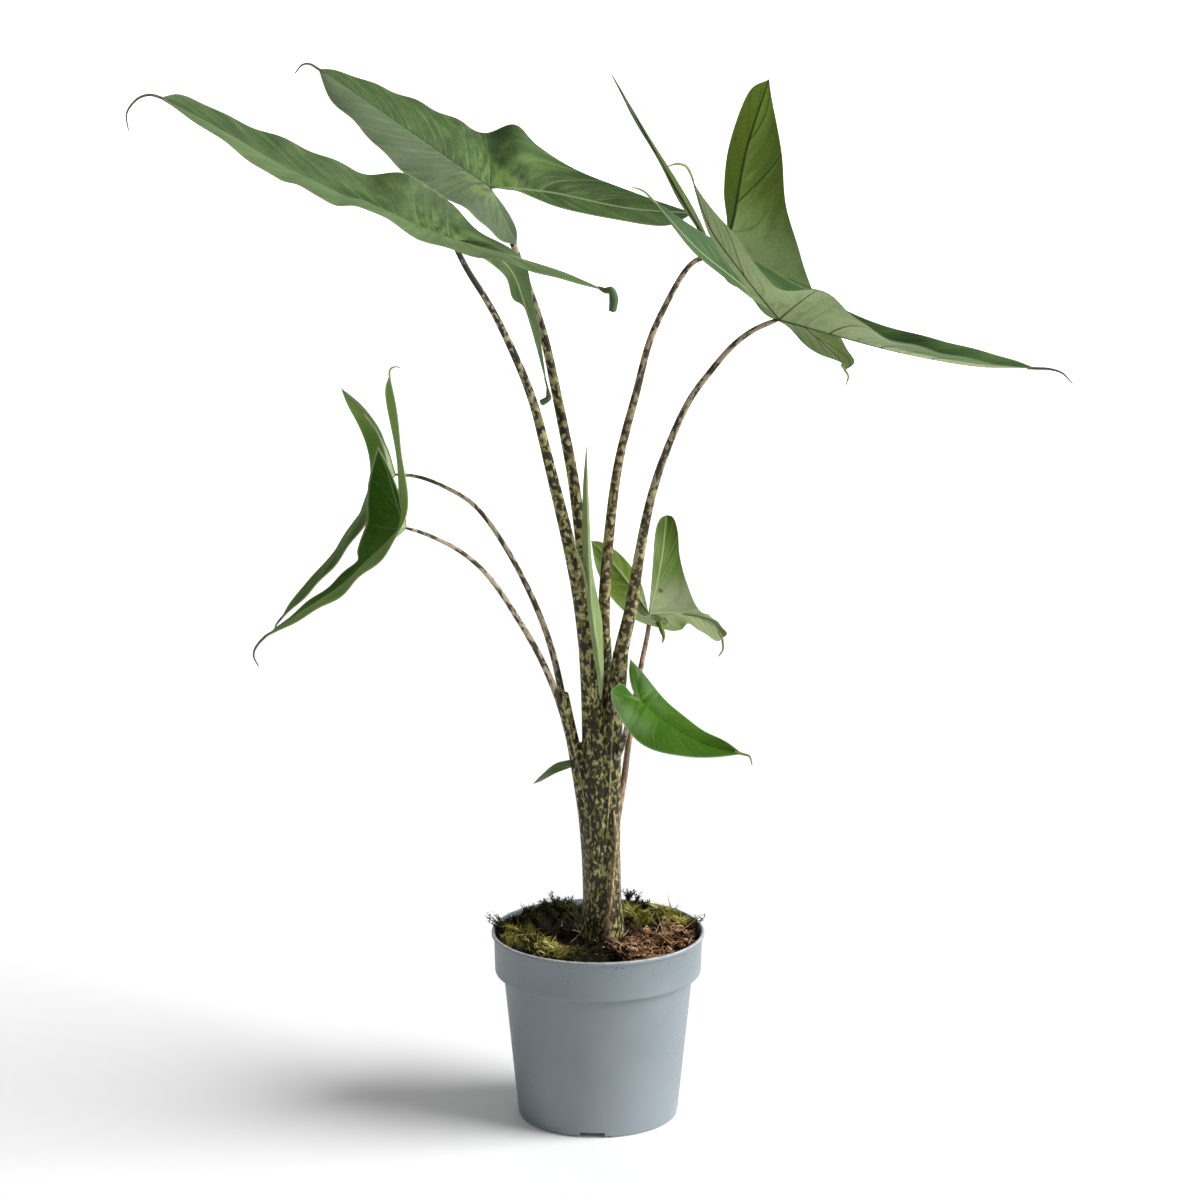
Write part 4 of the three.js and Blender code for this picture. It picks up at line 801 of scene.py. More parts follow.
def melted(parts, size, smoothing):
    """One skin round several overlapping closed shells, remade from cells of the given size and
    then smoothed, as corners in millimetres and triangles."""
    corners, faces, _, _ = gathered([(c, f, 0, {}) for c, f in parts])
    piece = put_mesh("melted", corners, faces, [])
    skin = piece.modifiers.new("skin", "REMESH")
    skin.mode = "VOXEL"
    skin.voxel_size = size * MM
    settle = piece.modifiers.new("settle", "SMOOTH")
    settle.factor = 0.5
    settle.iterations = smoothing
    mesh = applied(piece)
    mesh.calc_loop_triangles()
    corners = np.empty(len(mesh.vertices) * 3, np.float32)
    mesh.vertices.foreach_get("co", corners)
    faces = np.empty(len(mesh.loop_triangles) * 3, np.int32)
    mesh.loop_triangles.foreach_get("vertices", faces)
    bpy.data.objects.remove(piece)
    return corners.reshape(-1, 3) / MM, faces.reshape(-1, 3)


def mottling(place, girth, darker, pink):
    """Skin of a stalk: dark brown blotches on olive where it is thick, and dark flecks and
    streaks on greyish cream where it is thin. Darker adds to the share of dark, and pink makes
    it plainer and pinkish. Returns the colour and the share of dark."""
    thin = ramp(girth, 0.0046, 0.0028)
    tone = noise(place, 190, 2)
    base = mixed(ramp(tone, 0.38, 0.62), srgb("6c672f"), srgb("b3ac78"))
    base = mixed(thin, base, srgb("b5a98c"))
    base = mixed(pink, base, srgb("b39079"))
    fine = noise(place, 400, 2, 0.5, stretch=(1, 1, 0.5)) - 0.15 + noise(place, 60, 2) * 0.35
    coarse = noise(place, 230, 2, 0.5, stretch=(0.9, 0.9, 0.75))
    blotch = node("ShaderNodeMix", {0: ramp(girth, 0.0075, 0.012), 2: coarse, 3: fine}, data_type="FLOAT")
    fleck = noise(place, 170, 2, 0.5, stretch=(1.5, 1.5, 0.8))
    streak = noise(place, 800, 2, stretch=(1.5, 1.5, 0.1))
    fleck = fleck * 0.85 + streak * 0.15
    pattern = node("ShaderNodeMix", {0: thin, 2: blotch, 3: fleck}, data_type="FLOAT")
    dark = ramp(pattern + darker * 0.12, 0.45, 0.54)
    speck = ramp(noise(place, 1100, 2, stretch=(1, 1, 0.5)), 0.54, 0.66, 0, 0.4)
    dark = work("MAXIMUM", dark, speck)
    return mixed(dark * (0.95 - pink * 0.4), base, srgb("1e180b")), dark


stem_skin = started("mottled_stem_skin")
place = object_place()
x, y, height = axes(place)
fold = 0.0095 + (height - 0.18) * 0.09
plain_band = ramp(work("ABSOLUTE", x - fold), 0.0055, 0.002)
plain_band = plain_band * ramp(y, -0.004, -0.012) * ramp(height, 0.3, 0.26, 0, 0.5)
colour, dark = mottling(place, 0.02, 0.0, plain_band)
skin_height = dark + noise(place, 700, 3, stretch=(1, 1, 0.15))
finished(colour, ramp(dark, 0, 1, 0.48, 0.4), 0.25, skin_height, 0.00022)

sheath_edge = started("dry_sheath_edge")
finished(mixed(ramp(noise(object_place(), 260), 0.4, 0.6), srgb("75683f"), srgb("bfb189")), 0.7)

shells = []
for sheath in SHEATHS + [CORM]:
    path = spaced(sheath["path"], SHEATH_STEPS)
    shells.append(tube(path, spread(sheath["radii"], len(path)), SHEATH_SIDES)[:2])
corners, faces = melted(shells, SKIN_CELL, SKIN_ROUNDS)
parts = [(corners, faces, 0, {})]
for edge in SHEATH_EDGES:
    path = spaced(edge["path"], EDGE_STEPS)
    corners, faces, _ = tube(path, spread(edge["radii"], len(path)), EDGE_SIDES)
    parts.append((corners, faces, 1, {}))
corners, faces, slots, _ = gathered(parts)
stem = put_mesh("stem_of_sheaths", corners, faces, [stem_skin, sheath_edge], slots)
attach(stem, "root")
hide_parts("pseudostem")

# Leaf stalks. Fleshy round stalks, thick at the sheath and thin at the blade, with the same
# mottled skin. The last few centimetres belong to the blade's piece.

STALKS = [
    dict(leaf="leaf_upper_left_front", name="petiole_upper_left_front", steps=19, neck=1,
         path=[[-122, -55, 793], [-110, -49, 766], [-95, -44, 743], [-75, -37, 702], [-56, -31, 654],
               [-43, -26, 601], [-32, -22, 555], [-23, -19, 516], [-15, -15, 474], [-9, -11, 426],
               [-7, -10, 400]],
         radii=[2.4, 2.9, 3.6, 4.5, 5.6, 6.9, 8]),
    dict(leaf="leaf_upper_left_back", name="petiole_upper_left_back", steps=19, neck=1,
         path=[[-95, 70, 825], [-84, 63, 801], [-72, 56, 772], [-60, 49, 738], [-47, 42, 698],
               [-37, 35, 652], [-29, 30, 613], [-22, 25, 577], [-17, 20, 539], [-11, 15, 490],
               [-6, 10, 430], [-5, 9, 405]],
         radii=[2.4, 3, 3.9, 4.6, 5.2, 5.8, 6.4]),
    dict(leaf="leaf_upper_right_back", name="petiole_upper_right_back", steps=20, neck=3,
         path=[[102, 20, 769], [87, 20, 772], [73, 22, 755], [53, 22, 717], [43, 21, 692], [34, 20, 654],
               [26, 19, 625], [17, 17, 586], [11, 15, 540], [6, 12, 481], [5, 9, 433], [6, 8, 405]],
         radii=[2.2, 2.7, 3.3, 3.9, 4.5, 5.2, 6]),
    dict(leaf="leaf_upper_right_front", name="petiole_upper_right_front", steps=20, neck=3,
         path=[[153, -60, 727], [133, -56, 719], [113, -52, 703], [93, -46, 677], [78, -42, 656],
               [60, -36, 614], [46, -30, 570], [36, -24, 518], [29, -18, 469], [20, -12, 428],
               [17, -10, 405]],
         radii=[2.2, 2.6, 3, 3.6, 4.4, 5.6, 6.8]),
    dict(leaf="leaf_left_back", name="petiole_left_back", steps=17, neck=2,
         path=[[-179, 38, 576], [-157, 35, 575], [-130, 31, 564], [-107, 26, 550], [-82, 20, 516],
               [-60, 12, 476], [-43, 5, 434], [-33, -3, 395], [-30, -4, 375]],
         radii=[1.5, 2, 2.4, 2.8, 3.2]),
    dict(leaf="leaf_left_front", name="petiole_left_front", steps=16, neck=1,
         path=[[-165, -56, 547], [-150, -52, 542], [-118, -44, 524], [-93, -37, 499], [-69, -28, 460],
               [-51, -20, 426], [-37, -11, 391], [-31, -9, 372]],
         radii=[1.5, 2, 2.4, 2.8, 3.2]),
    dict(leaf="leaf_right_middle", name="petiole_right_middle", steps=12, neck=2,
         path=[[45, 30, 452], [46, 30, 444], [42, 28, 425], [37, 24, 400], [32, 19, 370], [27, 14, 338],
               [23, 9, 306], [17, 5, 270]],
         radii=[1.9, 2.5, 2.8, 3.1]),
    dict(leaf="leaf_front_small", name="petiole_front_small", steps=8, neck=2,
         path=[[37, -42, 390], [33, -39, 386], [29, -34, 378], [26, -27, 366], [22, -18, 348],
               [15, -10, 325]],
         radii=[1.8, 2.3, 2.8, 3]),
]
DARKER = [1, 0.3, 0, 0, 0, 0, 0, 0.3]
PINK = [0, 0.05, 0.25, 0.15, 0.15, 0.15, 0.8, 0.1]
STALK_SIDES = 24
STALK_FINENESS = 8
EVENING_ROUNDS = 40

stalk_skin = started("mottled_stalk_skin")
place = mark("bark", "Vector")
colour, dark = mottling(place, mark("girth"), mark("darker"), mark("pink"))
finished(colour, 0.42, 0.25, dark + noise(place, 900, 2, stretch=(1, 1, 0.2)), 0.00015)


def stalk_stretch(stalk, start, stop):
    """Centre line and radii of a stalk between two of its steps, at a finer spacing, with the
    centre line made even by averaging each point with its neighbours many times."""
    path = spaced(stalk["path"], stalk["steps"] * STALK_FINENESS)
    for _ in range(EVENING_ROUNDS):
        path[1:-1] = 0.5 * path[1:-1] + 0.25 * (path[:-2] + path[2:])
    radii = spread(stalk["radii"], len(path))
    span = slice(start * STALK_FINENESS, stop * STALK_FINENESS + 1)
    step = np.linalg.norm(path[1] - path[0])
    return path[span], radii[span], start * STALK_FINENESS * step


for number, stalk in enumerate(STALKS):
    path, radii, start = stalk_stretch(stalk, stalk["neck"], stalk["steps"])
    corners, faces, marks = tube(path, radii, STALK_SIDES, start, number, DARKER[number], PINK[number])
    piece = put_mesh(stalk["name"].replace("petiole", "stalk"), corners, faces, [stalk_skin], None, marks)
    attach(piece, "root")
    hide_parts(stalk["name"])

# Leaf blades. Arrow-shaped leathery blades with two back lobes, a raised rib under each half and
# a thin curled drip tip. Main veins leave the ribs and curve towards the tips.

DRIP_RADII = [1.3, 1.2, 0.9, 0.5]
BLADE_THICKNESS = 0.8
RIB_HEIGHT = 1.1
QUILT_HEIGHT = 0.55
RIB_WIDTH = 1.3
FINENESS = 8
COLUMNS = 30
LOBE_COLUMNS = 12
CURL_ROOT = 7
CURL_STEPS = 40
CURL_SIDES = 14
BLADE_CREASE = 60
LEAVES = [
    dict(name="leaf_upper_left_front", upper=[0, -0.2, 1], rows=15, wave=1.6, waves=8,
         midrib=[[-122, -55, 793], [-172, -61, 814], [-244, -72, 847], [-320, -82, 892], [-361, -88, 915]],
         drip=[[-370, -90, 917], [-380, -91, 913], [-388, -92, 902], [-387, -92, 888]]),
    dict(name="leaf_upper_left_back", upper=[0, -0.4, 1], rows=15, wave=1.4, waves=6,
         midrib=[[-95, 70, 825], [-139, 70, 856], [-192, 72, 893], [-230, 74, 919], [-243, 75, 927]],
         drip=[[-250, 75, 931], [-257, 75, 930], [-263, 75, 923]]),
    dict(name="leaf_upper_right_back", upper=[0.2, 0.6, 0.7], rows=15, wave=2.6, waves=5,
         midrib=[[102, 20, 769], [142, 58, 735], [185, 95, 697], [213, 117, 670], [222, 125, 655]],
         drip=[[225, 127, 649], [223, 128, 641]]),
    dict(name="leaf_upper_right_front", upper=[0, 0.3, 1], rows=15, wave=1.2, waves=7,
         midrib=[[153, -60, 727], [196, -76, 717], [252, -100, 705], [311, -130, 698], [359, -150, 699]],
         drip=[[370, -154, 699], [380, -157, 696], [388, -160, 688]]),
    dict(name="leaf_left_front", upper=[-0.7, -0.2, 0.6], rows=12, wave=1.2, waves=5,
         midrib=[[-165, -56, 547], [-188, -68, 528], [-215, -80, 504], [-249, -92, 483], [-283, -100, 461]],
         drip=[[-290, -102, 453], [-292, -102, 445], [-288, -102, 436]]),
    dict(name="leaf_left_back", upper=[-0.6, -0.1, 0.7], rows=12, wave=1, waves=5,
         midrib=[[-179, 38, 576], [-204, 29, 545], [-231, 20, 506], [-258, 10, 476], [-278, 2, 454]],
         drip=[[-282, 1, 449], [-284, 0, 443]]),
    dict(name="leaf_right_middle", upper=[0.3, 0.8, 0.5], rows=10, wave=1, waves=4,
         midrib=[[45, 30, 452], [66, 40, 451], [88, 52, 446], [104, 60, 435], [111, 64, 422]],
         drip=[[112, 65, 412], [108, 66, 405]]),
    dict(name="leaf_front_small", upper=[0, -0.6, 0.8], rows=10, wave=0.5, waves=3,
         midrib=[[37, -42, 390], [61, -50, 371], [93, -60, 356], [125, -67, 350]],
         drip=[[131, -68, 348], [133, -69, 341]]),
]
HALVES = [
    dict(leaf="leaf_upper_left_front", shoulder=8, bulge=0.06,
         outer=[[-339, -104, 902], [-299, -120, 877], [-263, -128, 852], [-242, -126, 847],
                [-217, -131, 830], [-194, -126, 830], [-161, -122, 810], [-125, -115, 793],
                [-84, -118, 784], [-32, -120, 769]],
         costa=[[-74, -85, 784], [-30, -105, 773]],
         inner=[[-94, -70, 793], [-55, -90, 778], [-15, -108, 766]],
         tip=[6, -118, 759],
         curl=dict(path=[[11, -119, 759], [13, -119, 752], [12, -119, 742]], radii=[1.2, 3, 4, 3.2])),
    dict(leaf="leaf_upper_left_front", shoulder=6, bulge=-0.08,
         outer=[[-342, -72, 915], [-301, -45, 892], [-250, -24, 869], [-201, -9, 846], [-159, -5, 842],
                [-128, 0, 819], [-103, 4, 796], [-64, 4, 768], [-55, 0, 730], [-49, -3, 697]],
         costa=[[-79, -24, 770], [-61, -12, 727]],
         inner=[[-101, -40, 779], [-79, -26, 759], [-73, -18, 739], [-62, -14, 729], [-53, -9, 698]],
         tip=[-44, -6, 662],
         curl=dict(path=[[-43, -6, 656], [-43, -7, 651], [-49, -8, 647]], radii=[0.9, 1, 2.6, 3])),
    dict(leaf="leaf_upper_left_back", shoulder=5, bulge=0.08,
         outer=[[-232, 62, 902], [-209, 48, 882], [-178, 30, 852], [-147, 20, 830], [-123, 14, 818],
                [-100, 14, 801], [-85, 20, 785]],
         costa=[[-87, 55, 809], [-77, 38, 791]],
         inner=[[-81, 60, 808], [-71, 42, 792]],
         tip=[-70, 25, 780]),
    dict(leaf="leaf_upper_left_back", shoulder=5, bulge=0.06,
         outer=[[-225, 84, 924], [-188, 100, 909], [-151, 116, 892], [-126, 125, 879], [-100, 132, 867],
                [-74, 134, 873], [-53, 128, 855], [-9, 115, 831], [43, 100, 813]],
         costa=[[-42, 82, 819], [24, 86, 805]],
         inner=[[-73, 74, 822], [-34, 72, 807], [17, 74, 796], [59, 80, 790]],
         tip=[84, 88, 800]),
    dict(leaf="leaf_upper_right_back", shoulder=5, bulge=0.05,
         outer=[[219, 124, 662], [197, 125, 671], [166, 112, 697], [125, 86, 733], [100, 62, 764],
                [84, 45, 797], [66, 32, 826], [39, 8, 874]],
         costa=[[70, 5, 824], [44, -10, 871]],
         inner=[[85, 20, 806], [67, 14, 837], [44, -2, 874]],
         tip=[11, -25, 930]),
    dict(leaf="leaf_upper_right_back", shoulder=4, bulge=0.06,
         outer=[[230, 122, 663], [221, 112, 679], [208, 98, 700], [189, 72, 734], [173, 45, 777],
                [162, 22, 814], [157, 4, 859], [147, -12, 907]],
         costa=[[115, 8, 799], [126, -8, 864]],
         inner=[[111, 16, 795], [108, 12, 828], [112, 4, 868], [127, -12, 913]],
         tip=[144, -20, 925]),
    dict(leaf="leaf_upper_right_front", shoulder=5, bulge=0.05,
         outer=[[329, -150, 702], [280, -146, 712], [233, -134, 724], [208, -118, 741], [182, -104, 758],
                [147, -97, 759], [118, -88, 796], [98, -82, 818], [82, -76, 839]],
         costa=[[123, -69, 765], [94, -71, 805]],
         inner=[[129, -62, 749], [99, -64, 789], [88, -67, 813]],
         tip=[77, -73, 851],
         curl=dict(path=[[73, -74, 857], [66, -75, 859], [58, -75, 857]], radii=[1, 1.3, 1.2, 0.6])),
    dict(leaf="leaf_upper_right_front", shoulder=5, bulge=0.05,
         outer=[[336, -130, 705], [284, -106, 716], [236, -84, 726], [211, -72, 735], [179, -48, 749],
                [138, -25, 769], [94, -12, 791], [67, -15, 809]],
         costa=[[120, -46, 755], [82, -35, 785]],
         inner=[[118, -54, 753], [83, -46, 780], [63, -36, 803]],
         tip=[45, -22, 825],
         curl=dict(path=[[40, -22, 830], [34, -22, 833], [29, -22, 834]], radii=[1, 1.2, 1, 0.6])),
    dict(leaf="leaf_left_front", shoulder=5, bulge=0.06,
         outer=[[-258, -114, 476], [-219, -122, 500], [-199, -124, 518], [-180, -120, 535],
                [-167, -114, 553], [-160, -108, 577], [-165, -96, 624], [-169, -89, 655]],
         costa=[[-166, -68, 582], [-170, -78, 636]],
         inner=[[-169, -62, 572], [-171, -66, 612], [-179, -76, 664]],
         tip=[-175, -82, 684],
         curl=dict(path=[[-174, -82, 688], [-170, -82, 690], [-166, -82, 689]],
                   radii=[0.9, 1.1, 0.9, 0.5])),
    dict(leaf="leaf_left_front", shoulder=5, bulge=-0.1,
         outer=[[-261, -72, 475], [-228, -50, 498], [-209, -36, 513], [-208, -31, 524], [-200, -24, 543],
                [-200, -21, 563], [-195, -24, 593]],
         costa=[[-173, -46, 569], [-180, -38, 592]],
         inner=[[-167, -55, 567], [-172, -50, 582], [-182, -38, 602]],
         tip=[-189, -28, 612]),
    dict(leaf="leaf_left_back", shoulder=4, bulge=0.05,
         outer=[[-254, -14, 478], [-226, -24, 510], [-206, -22, 537], [-190, -16, 564], [-182, -10, 593],
                [-189, -2, 617]],
         costa=[[-185, 22, 601]],
         inner=[[-186, 30, 601], [-195, 24, 620]],
         tip=[-203, 10, 635]),
    dict(leaf="leaf_left_back", shoulder=4, bulge=0.05,
         outer=[[-266, 26, 471], [-239, 48, 497], [-218, 62, 526], [-205, 70, 552], [-203, 76, 575],
                [-208, 84, 601], [-223, 92, 629]],
         costa=[[-187, 58, 597], [-206, 76, 620]],
         inner=[[-184, 50, 587], [-192, 64, 610], [-209, 82, 630]],
         tip=[-229, 96, 644]),
    dict(leaf="leaf_right_middle", shoulder=4, bulge=0.06,
         outer=[[105, 56, 422], [82, 38, 441], [73, 30, 438], [57, 24, 440], [33, 22, 449], [12, 26, 468],
                [-1, 31, 492]],
         costa=[[30, 32, 475], [12, 35, 498]],
         inner=[[37, 37, 481], [21, 39, 503], [4, 38, 515]],
         tip=[-6, 36, 517],
         spur=dict(root=[54, 27, 447],
                   path=[[56, 24, 440], [58, 22, 434], [57, 21, 428]],
                   radii=[2.6, 2.2, 0.5])),
    dict(leaf="leaf_right_middle", shoulder=3, bulge=0.06,
         outer=[[115, 62, 428], [101, 59, 443], [88, 58, 452], [80, 62, 471], [73, 62, 498], [71, 64, 520],
                [67, 66, 532]],
         costa=[[51, 43, 473], [57, 57, 502]],
         inner=[[47, 38, 472], [49, 47, 497], [51, 60, 520], [55, 65, 531]],
         tip=[61, 68, 534]),
    dict(leaf="leaf_front_small", shoulder=5, bulge=0.1,
         outer=[[101, -74, 349], [77, -79, 351], [53, -80, 355], [36, -77, 363], [23, -73, 377],
                [13, -67, 394]],
         costa=[[24, -50, 397]],
         inner=[[29, -44, 398], [20, -52, 409]],
         tip=[11, -61, 405]),
    dict(leaf="leaf_front_small", shoulder=4, bulge=0.08,
         outer=[[110, -58, 359], [89, -46, 367], [67, -35, 382], [51, -28, 397], [38, -24, 413]],
         costa=[[32, -32, 406]],
         inner=[[30, -37, 400], [27, -29, 413]],
         tip=[28, -24, 424]),
]
PLAIN = dict(
    drip="dry", near=("5f7d48", 0), back=None, reach=0.08, far=None, front=None, inside=None, hub=None,
    stalk_shadow_patches=(), band=None, glow=("74904c", 0.35), lines=(0.3, 0.8), margin=("8f9f74", 1.0, 0.5),
    ribs=("8a9a70", "8a9a70", "222b10"), gloss=0.15, rough=(0.44, 0.56))
LOOKS = {
    # The near halves of the two upper-left blades get a greyer green on their upper side: a painted sheen.
    "leaf_upper_left_front": dict(
        PLAIN, upper=("364b28", "4f653c"), near=("647a4c", 0.6), under="586f4a", veins=(9, 5)),
    # Its dark front rib colour on the upper side is painted shade in the midrib's groove.
    "leaf_upper_left_back": dict(
        PLAIN, upper=("314722", "475e32"), near=("5f6d54", 0.75), under="586e4a", veins=(8, 4),
        ribs=("273619", "7f9162", "222b10")),
    # Its inside colour is painted light on the lobe's inner strip, which faces away from the light.
    "leaf_upper_right_back": dict(
        PLAIN, upper=("3a5528", "4d6a36"), under="566d1e", inside="7d9836", front="74884e",
        hub="718654", drip="green", veins=(4, 3), lines=(0.3, 0.9)),
    "leaf_upper_right_front": dict(
        PLAIN, upper=("4a683a", "5e7b49"), back="304a35", reach=0.4, under="aec38a",
        band=("ccd7a4", "6f8f56"), veins=(5, 3), ribs=("9aa87c", "9aa87c", "2a3516")),
    "leaf_left_front": dict(
        PLAIN, upper=("416a1c", "5c8630"), near=("88a854", 0.9), back="305c0a", under="abbd8e",
        front="587835", margin=("a9b58c", 2.5, 0.75), glow=("4f7a24", 0.25), veins=(6, 4),
        lines=(0.35, 0.2), ribs=("8ba06a", "8ba06a", "33401f"), gloss=0.03, rough=(0.6, 0.7)),
    "leaf_left_back": dict(
        PLAIN, upper=("5a832a", "8aac5a"), near=("46642a", 0.7), under="abbd8e", front="587835",
        margin=("b3c094", 3.0, 0.75), glow=("86ac50", 0.3), veins=(6, 4), lines=(0.3, 0.2),
        ribs=("8ba06a", "8ba06a", "33401f"), gloss=0.03, rough=(0.6, 0.7)),
    "leaf_right_middle": dict(
        PLAIN, upper=("42601a", "55722a"), under="647e2b", far="4a631f", front="77825a",
        hub="747d5a", drip="green", glow=("8ea45c", 0.3), veins=(4, 3), lines=(0.25, 0.0),
        ribs=("768d50", "768d50", "879964"),
        # Dark patches round the top of the stalk: painted shadow of the stalk.
        stalk_shadow_patches=(((41, 29.5, 457), 6.4), ((49.6, 29.7, 449.5), 3.8), ((54, 30.3, 447), 3.9),
                 ((58.3, 31.4, 445.5), 3.8), ((52, 45.6, 470), 1.9), ((54.4, 46, 470), 2.1),
                 ((56.8, 46.4, 469.4), 2.3))),
    "leaf_front_small": dict(
        PLAIN, upper=("2b5003", "3b6209"), near=("38610f", 0.4), under="5a8436",
        glow=("4c7a18", 0.12), drip="green", veins=(5, 3), lines=(0.1, 0.3),
        ribs=("44730f", "44730f", "3c6010"), rough=(0.36, 0.44)),
}
END_MARKS = {"vein": 0.25, "rib": 30, "edge": 30, "along": 1, "near": 1}


def strip(spine, edge, columns, facing, bulge, wave, waves, phase, near=0.0):
    """Middle surface between a spine and an edge: a grid of points spine + v (edge - spine),
    raised by bulge times width times 4 v (1 - v), by a wave at the edge, and by low quilting
    between the veins. Returns corners, faces that face the upper side, and the vein phase,
    distance from the spine, distance from the edge, share along, near and 0, for each corner."""
    rows = len(spine) - 1
    v = np.linspace(0, 1, columns + 1)[None] ** 1.3
    tangent = np.gradient(spine, axis=0)
    across = edge - spine
    normal = np.cross(tangent, across) * facing
    width = np.linalg.norm(across, axis=1)
    normal /= np.maximum(np.linalg.norm(normal, axis=1), 1e-6)[:, None]
    s = np.arange(rows + 1) / rows
    fade = np.minimum(1, width / 12) * np.sin(math.pi * s)
    vein = phase(s[:, None], v)
    wide = np.minimum(1, width / 30)[:, None]
    pillow = np.sin(math.pi * v) ** 0.6
    quilt = np.abs(np.sin(math.pi * vein)) * wide * pillow
    rise = (bulge * width[:, None] * 4 * v * (1 - v)
            + wave * fade[:, None] * v ** 2 * np.sin(2 * math.pi * waves * s)[:, None]
            + QUILT_HEIGHT * (quilt - 0.5 * wide * pillow))
    grid = spine[:, None] + v[..., None] * across[:, None] + rise[..., None] * normal[:, None]
    faces = grid_faces(rows + 1, columns + 1)
    if facing < 0:
        faces = faces[:, ::-1]
    marks = np.stack([vein, v * width[:, None], (1 - v) * width[:, None], s[:, None] + 0 * v,
                      near + 0 * vein, 0 * vein], -1)
    return grid.reshape(-1, 3), faces, marks.reshape(-1, 6)


def facing_of(spine, edge, upper):
    """1 or -1, so that it times the cross product of spine and width points to the upper side."""
    total = np.cross(np.diff(spine, axis=0), (edge - spine)[1:]).sum(axis=0)
    return 1 if total @ np.array(upper) > 0 else -1


def thickened(corners, faces, rib):
    """Closed blade from its middle surface: each corner moves half the thickness along its own
    normal to both sides, and on the lower side by the height of the rib too."""
    a, b, c = (corners[faces[:, k]] for k in range(3))
    flat = np.cross(b - a, c - a)
    normal = np.zeros_like(corners)
    for k in range(3):
        np.add.at(normal, faces[:, k], flat)
    normal /= np.maximum(np.linalg.norm(normal, axis=1), 1e-9)[:, None]
    top = corners + normal * BLADE_THICKNESS / 2
    bottom = corners - normal * (BLADE_THICKNESS / 2 + rib)[:, None]
    return closed_sheet(top, bottom, faces)


def curled_end(rib_end, curl):
    """Rolled end of a blade, a tapered tube rooted a short way back along the rib."""
    before, tip = np.array(rib_end[0], float), np.array(rib_end[1], float)
    root = tip + CURL_ROOT * (before - tip) / np.linalg.norm(before - tip)
    path = [root]
    for point in [tip] + [np.array(p, float) for p in curl["path"]]:
        if np.linalg.norm(point - path[-1]) > 1:
            path.append(point)
    path = spaced(path, CURL_STEPS)
    return tube(path, spread(curl["radii"], len(path)), CURL_SIDES)


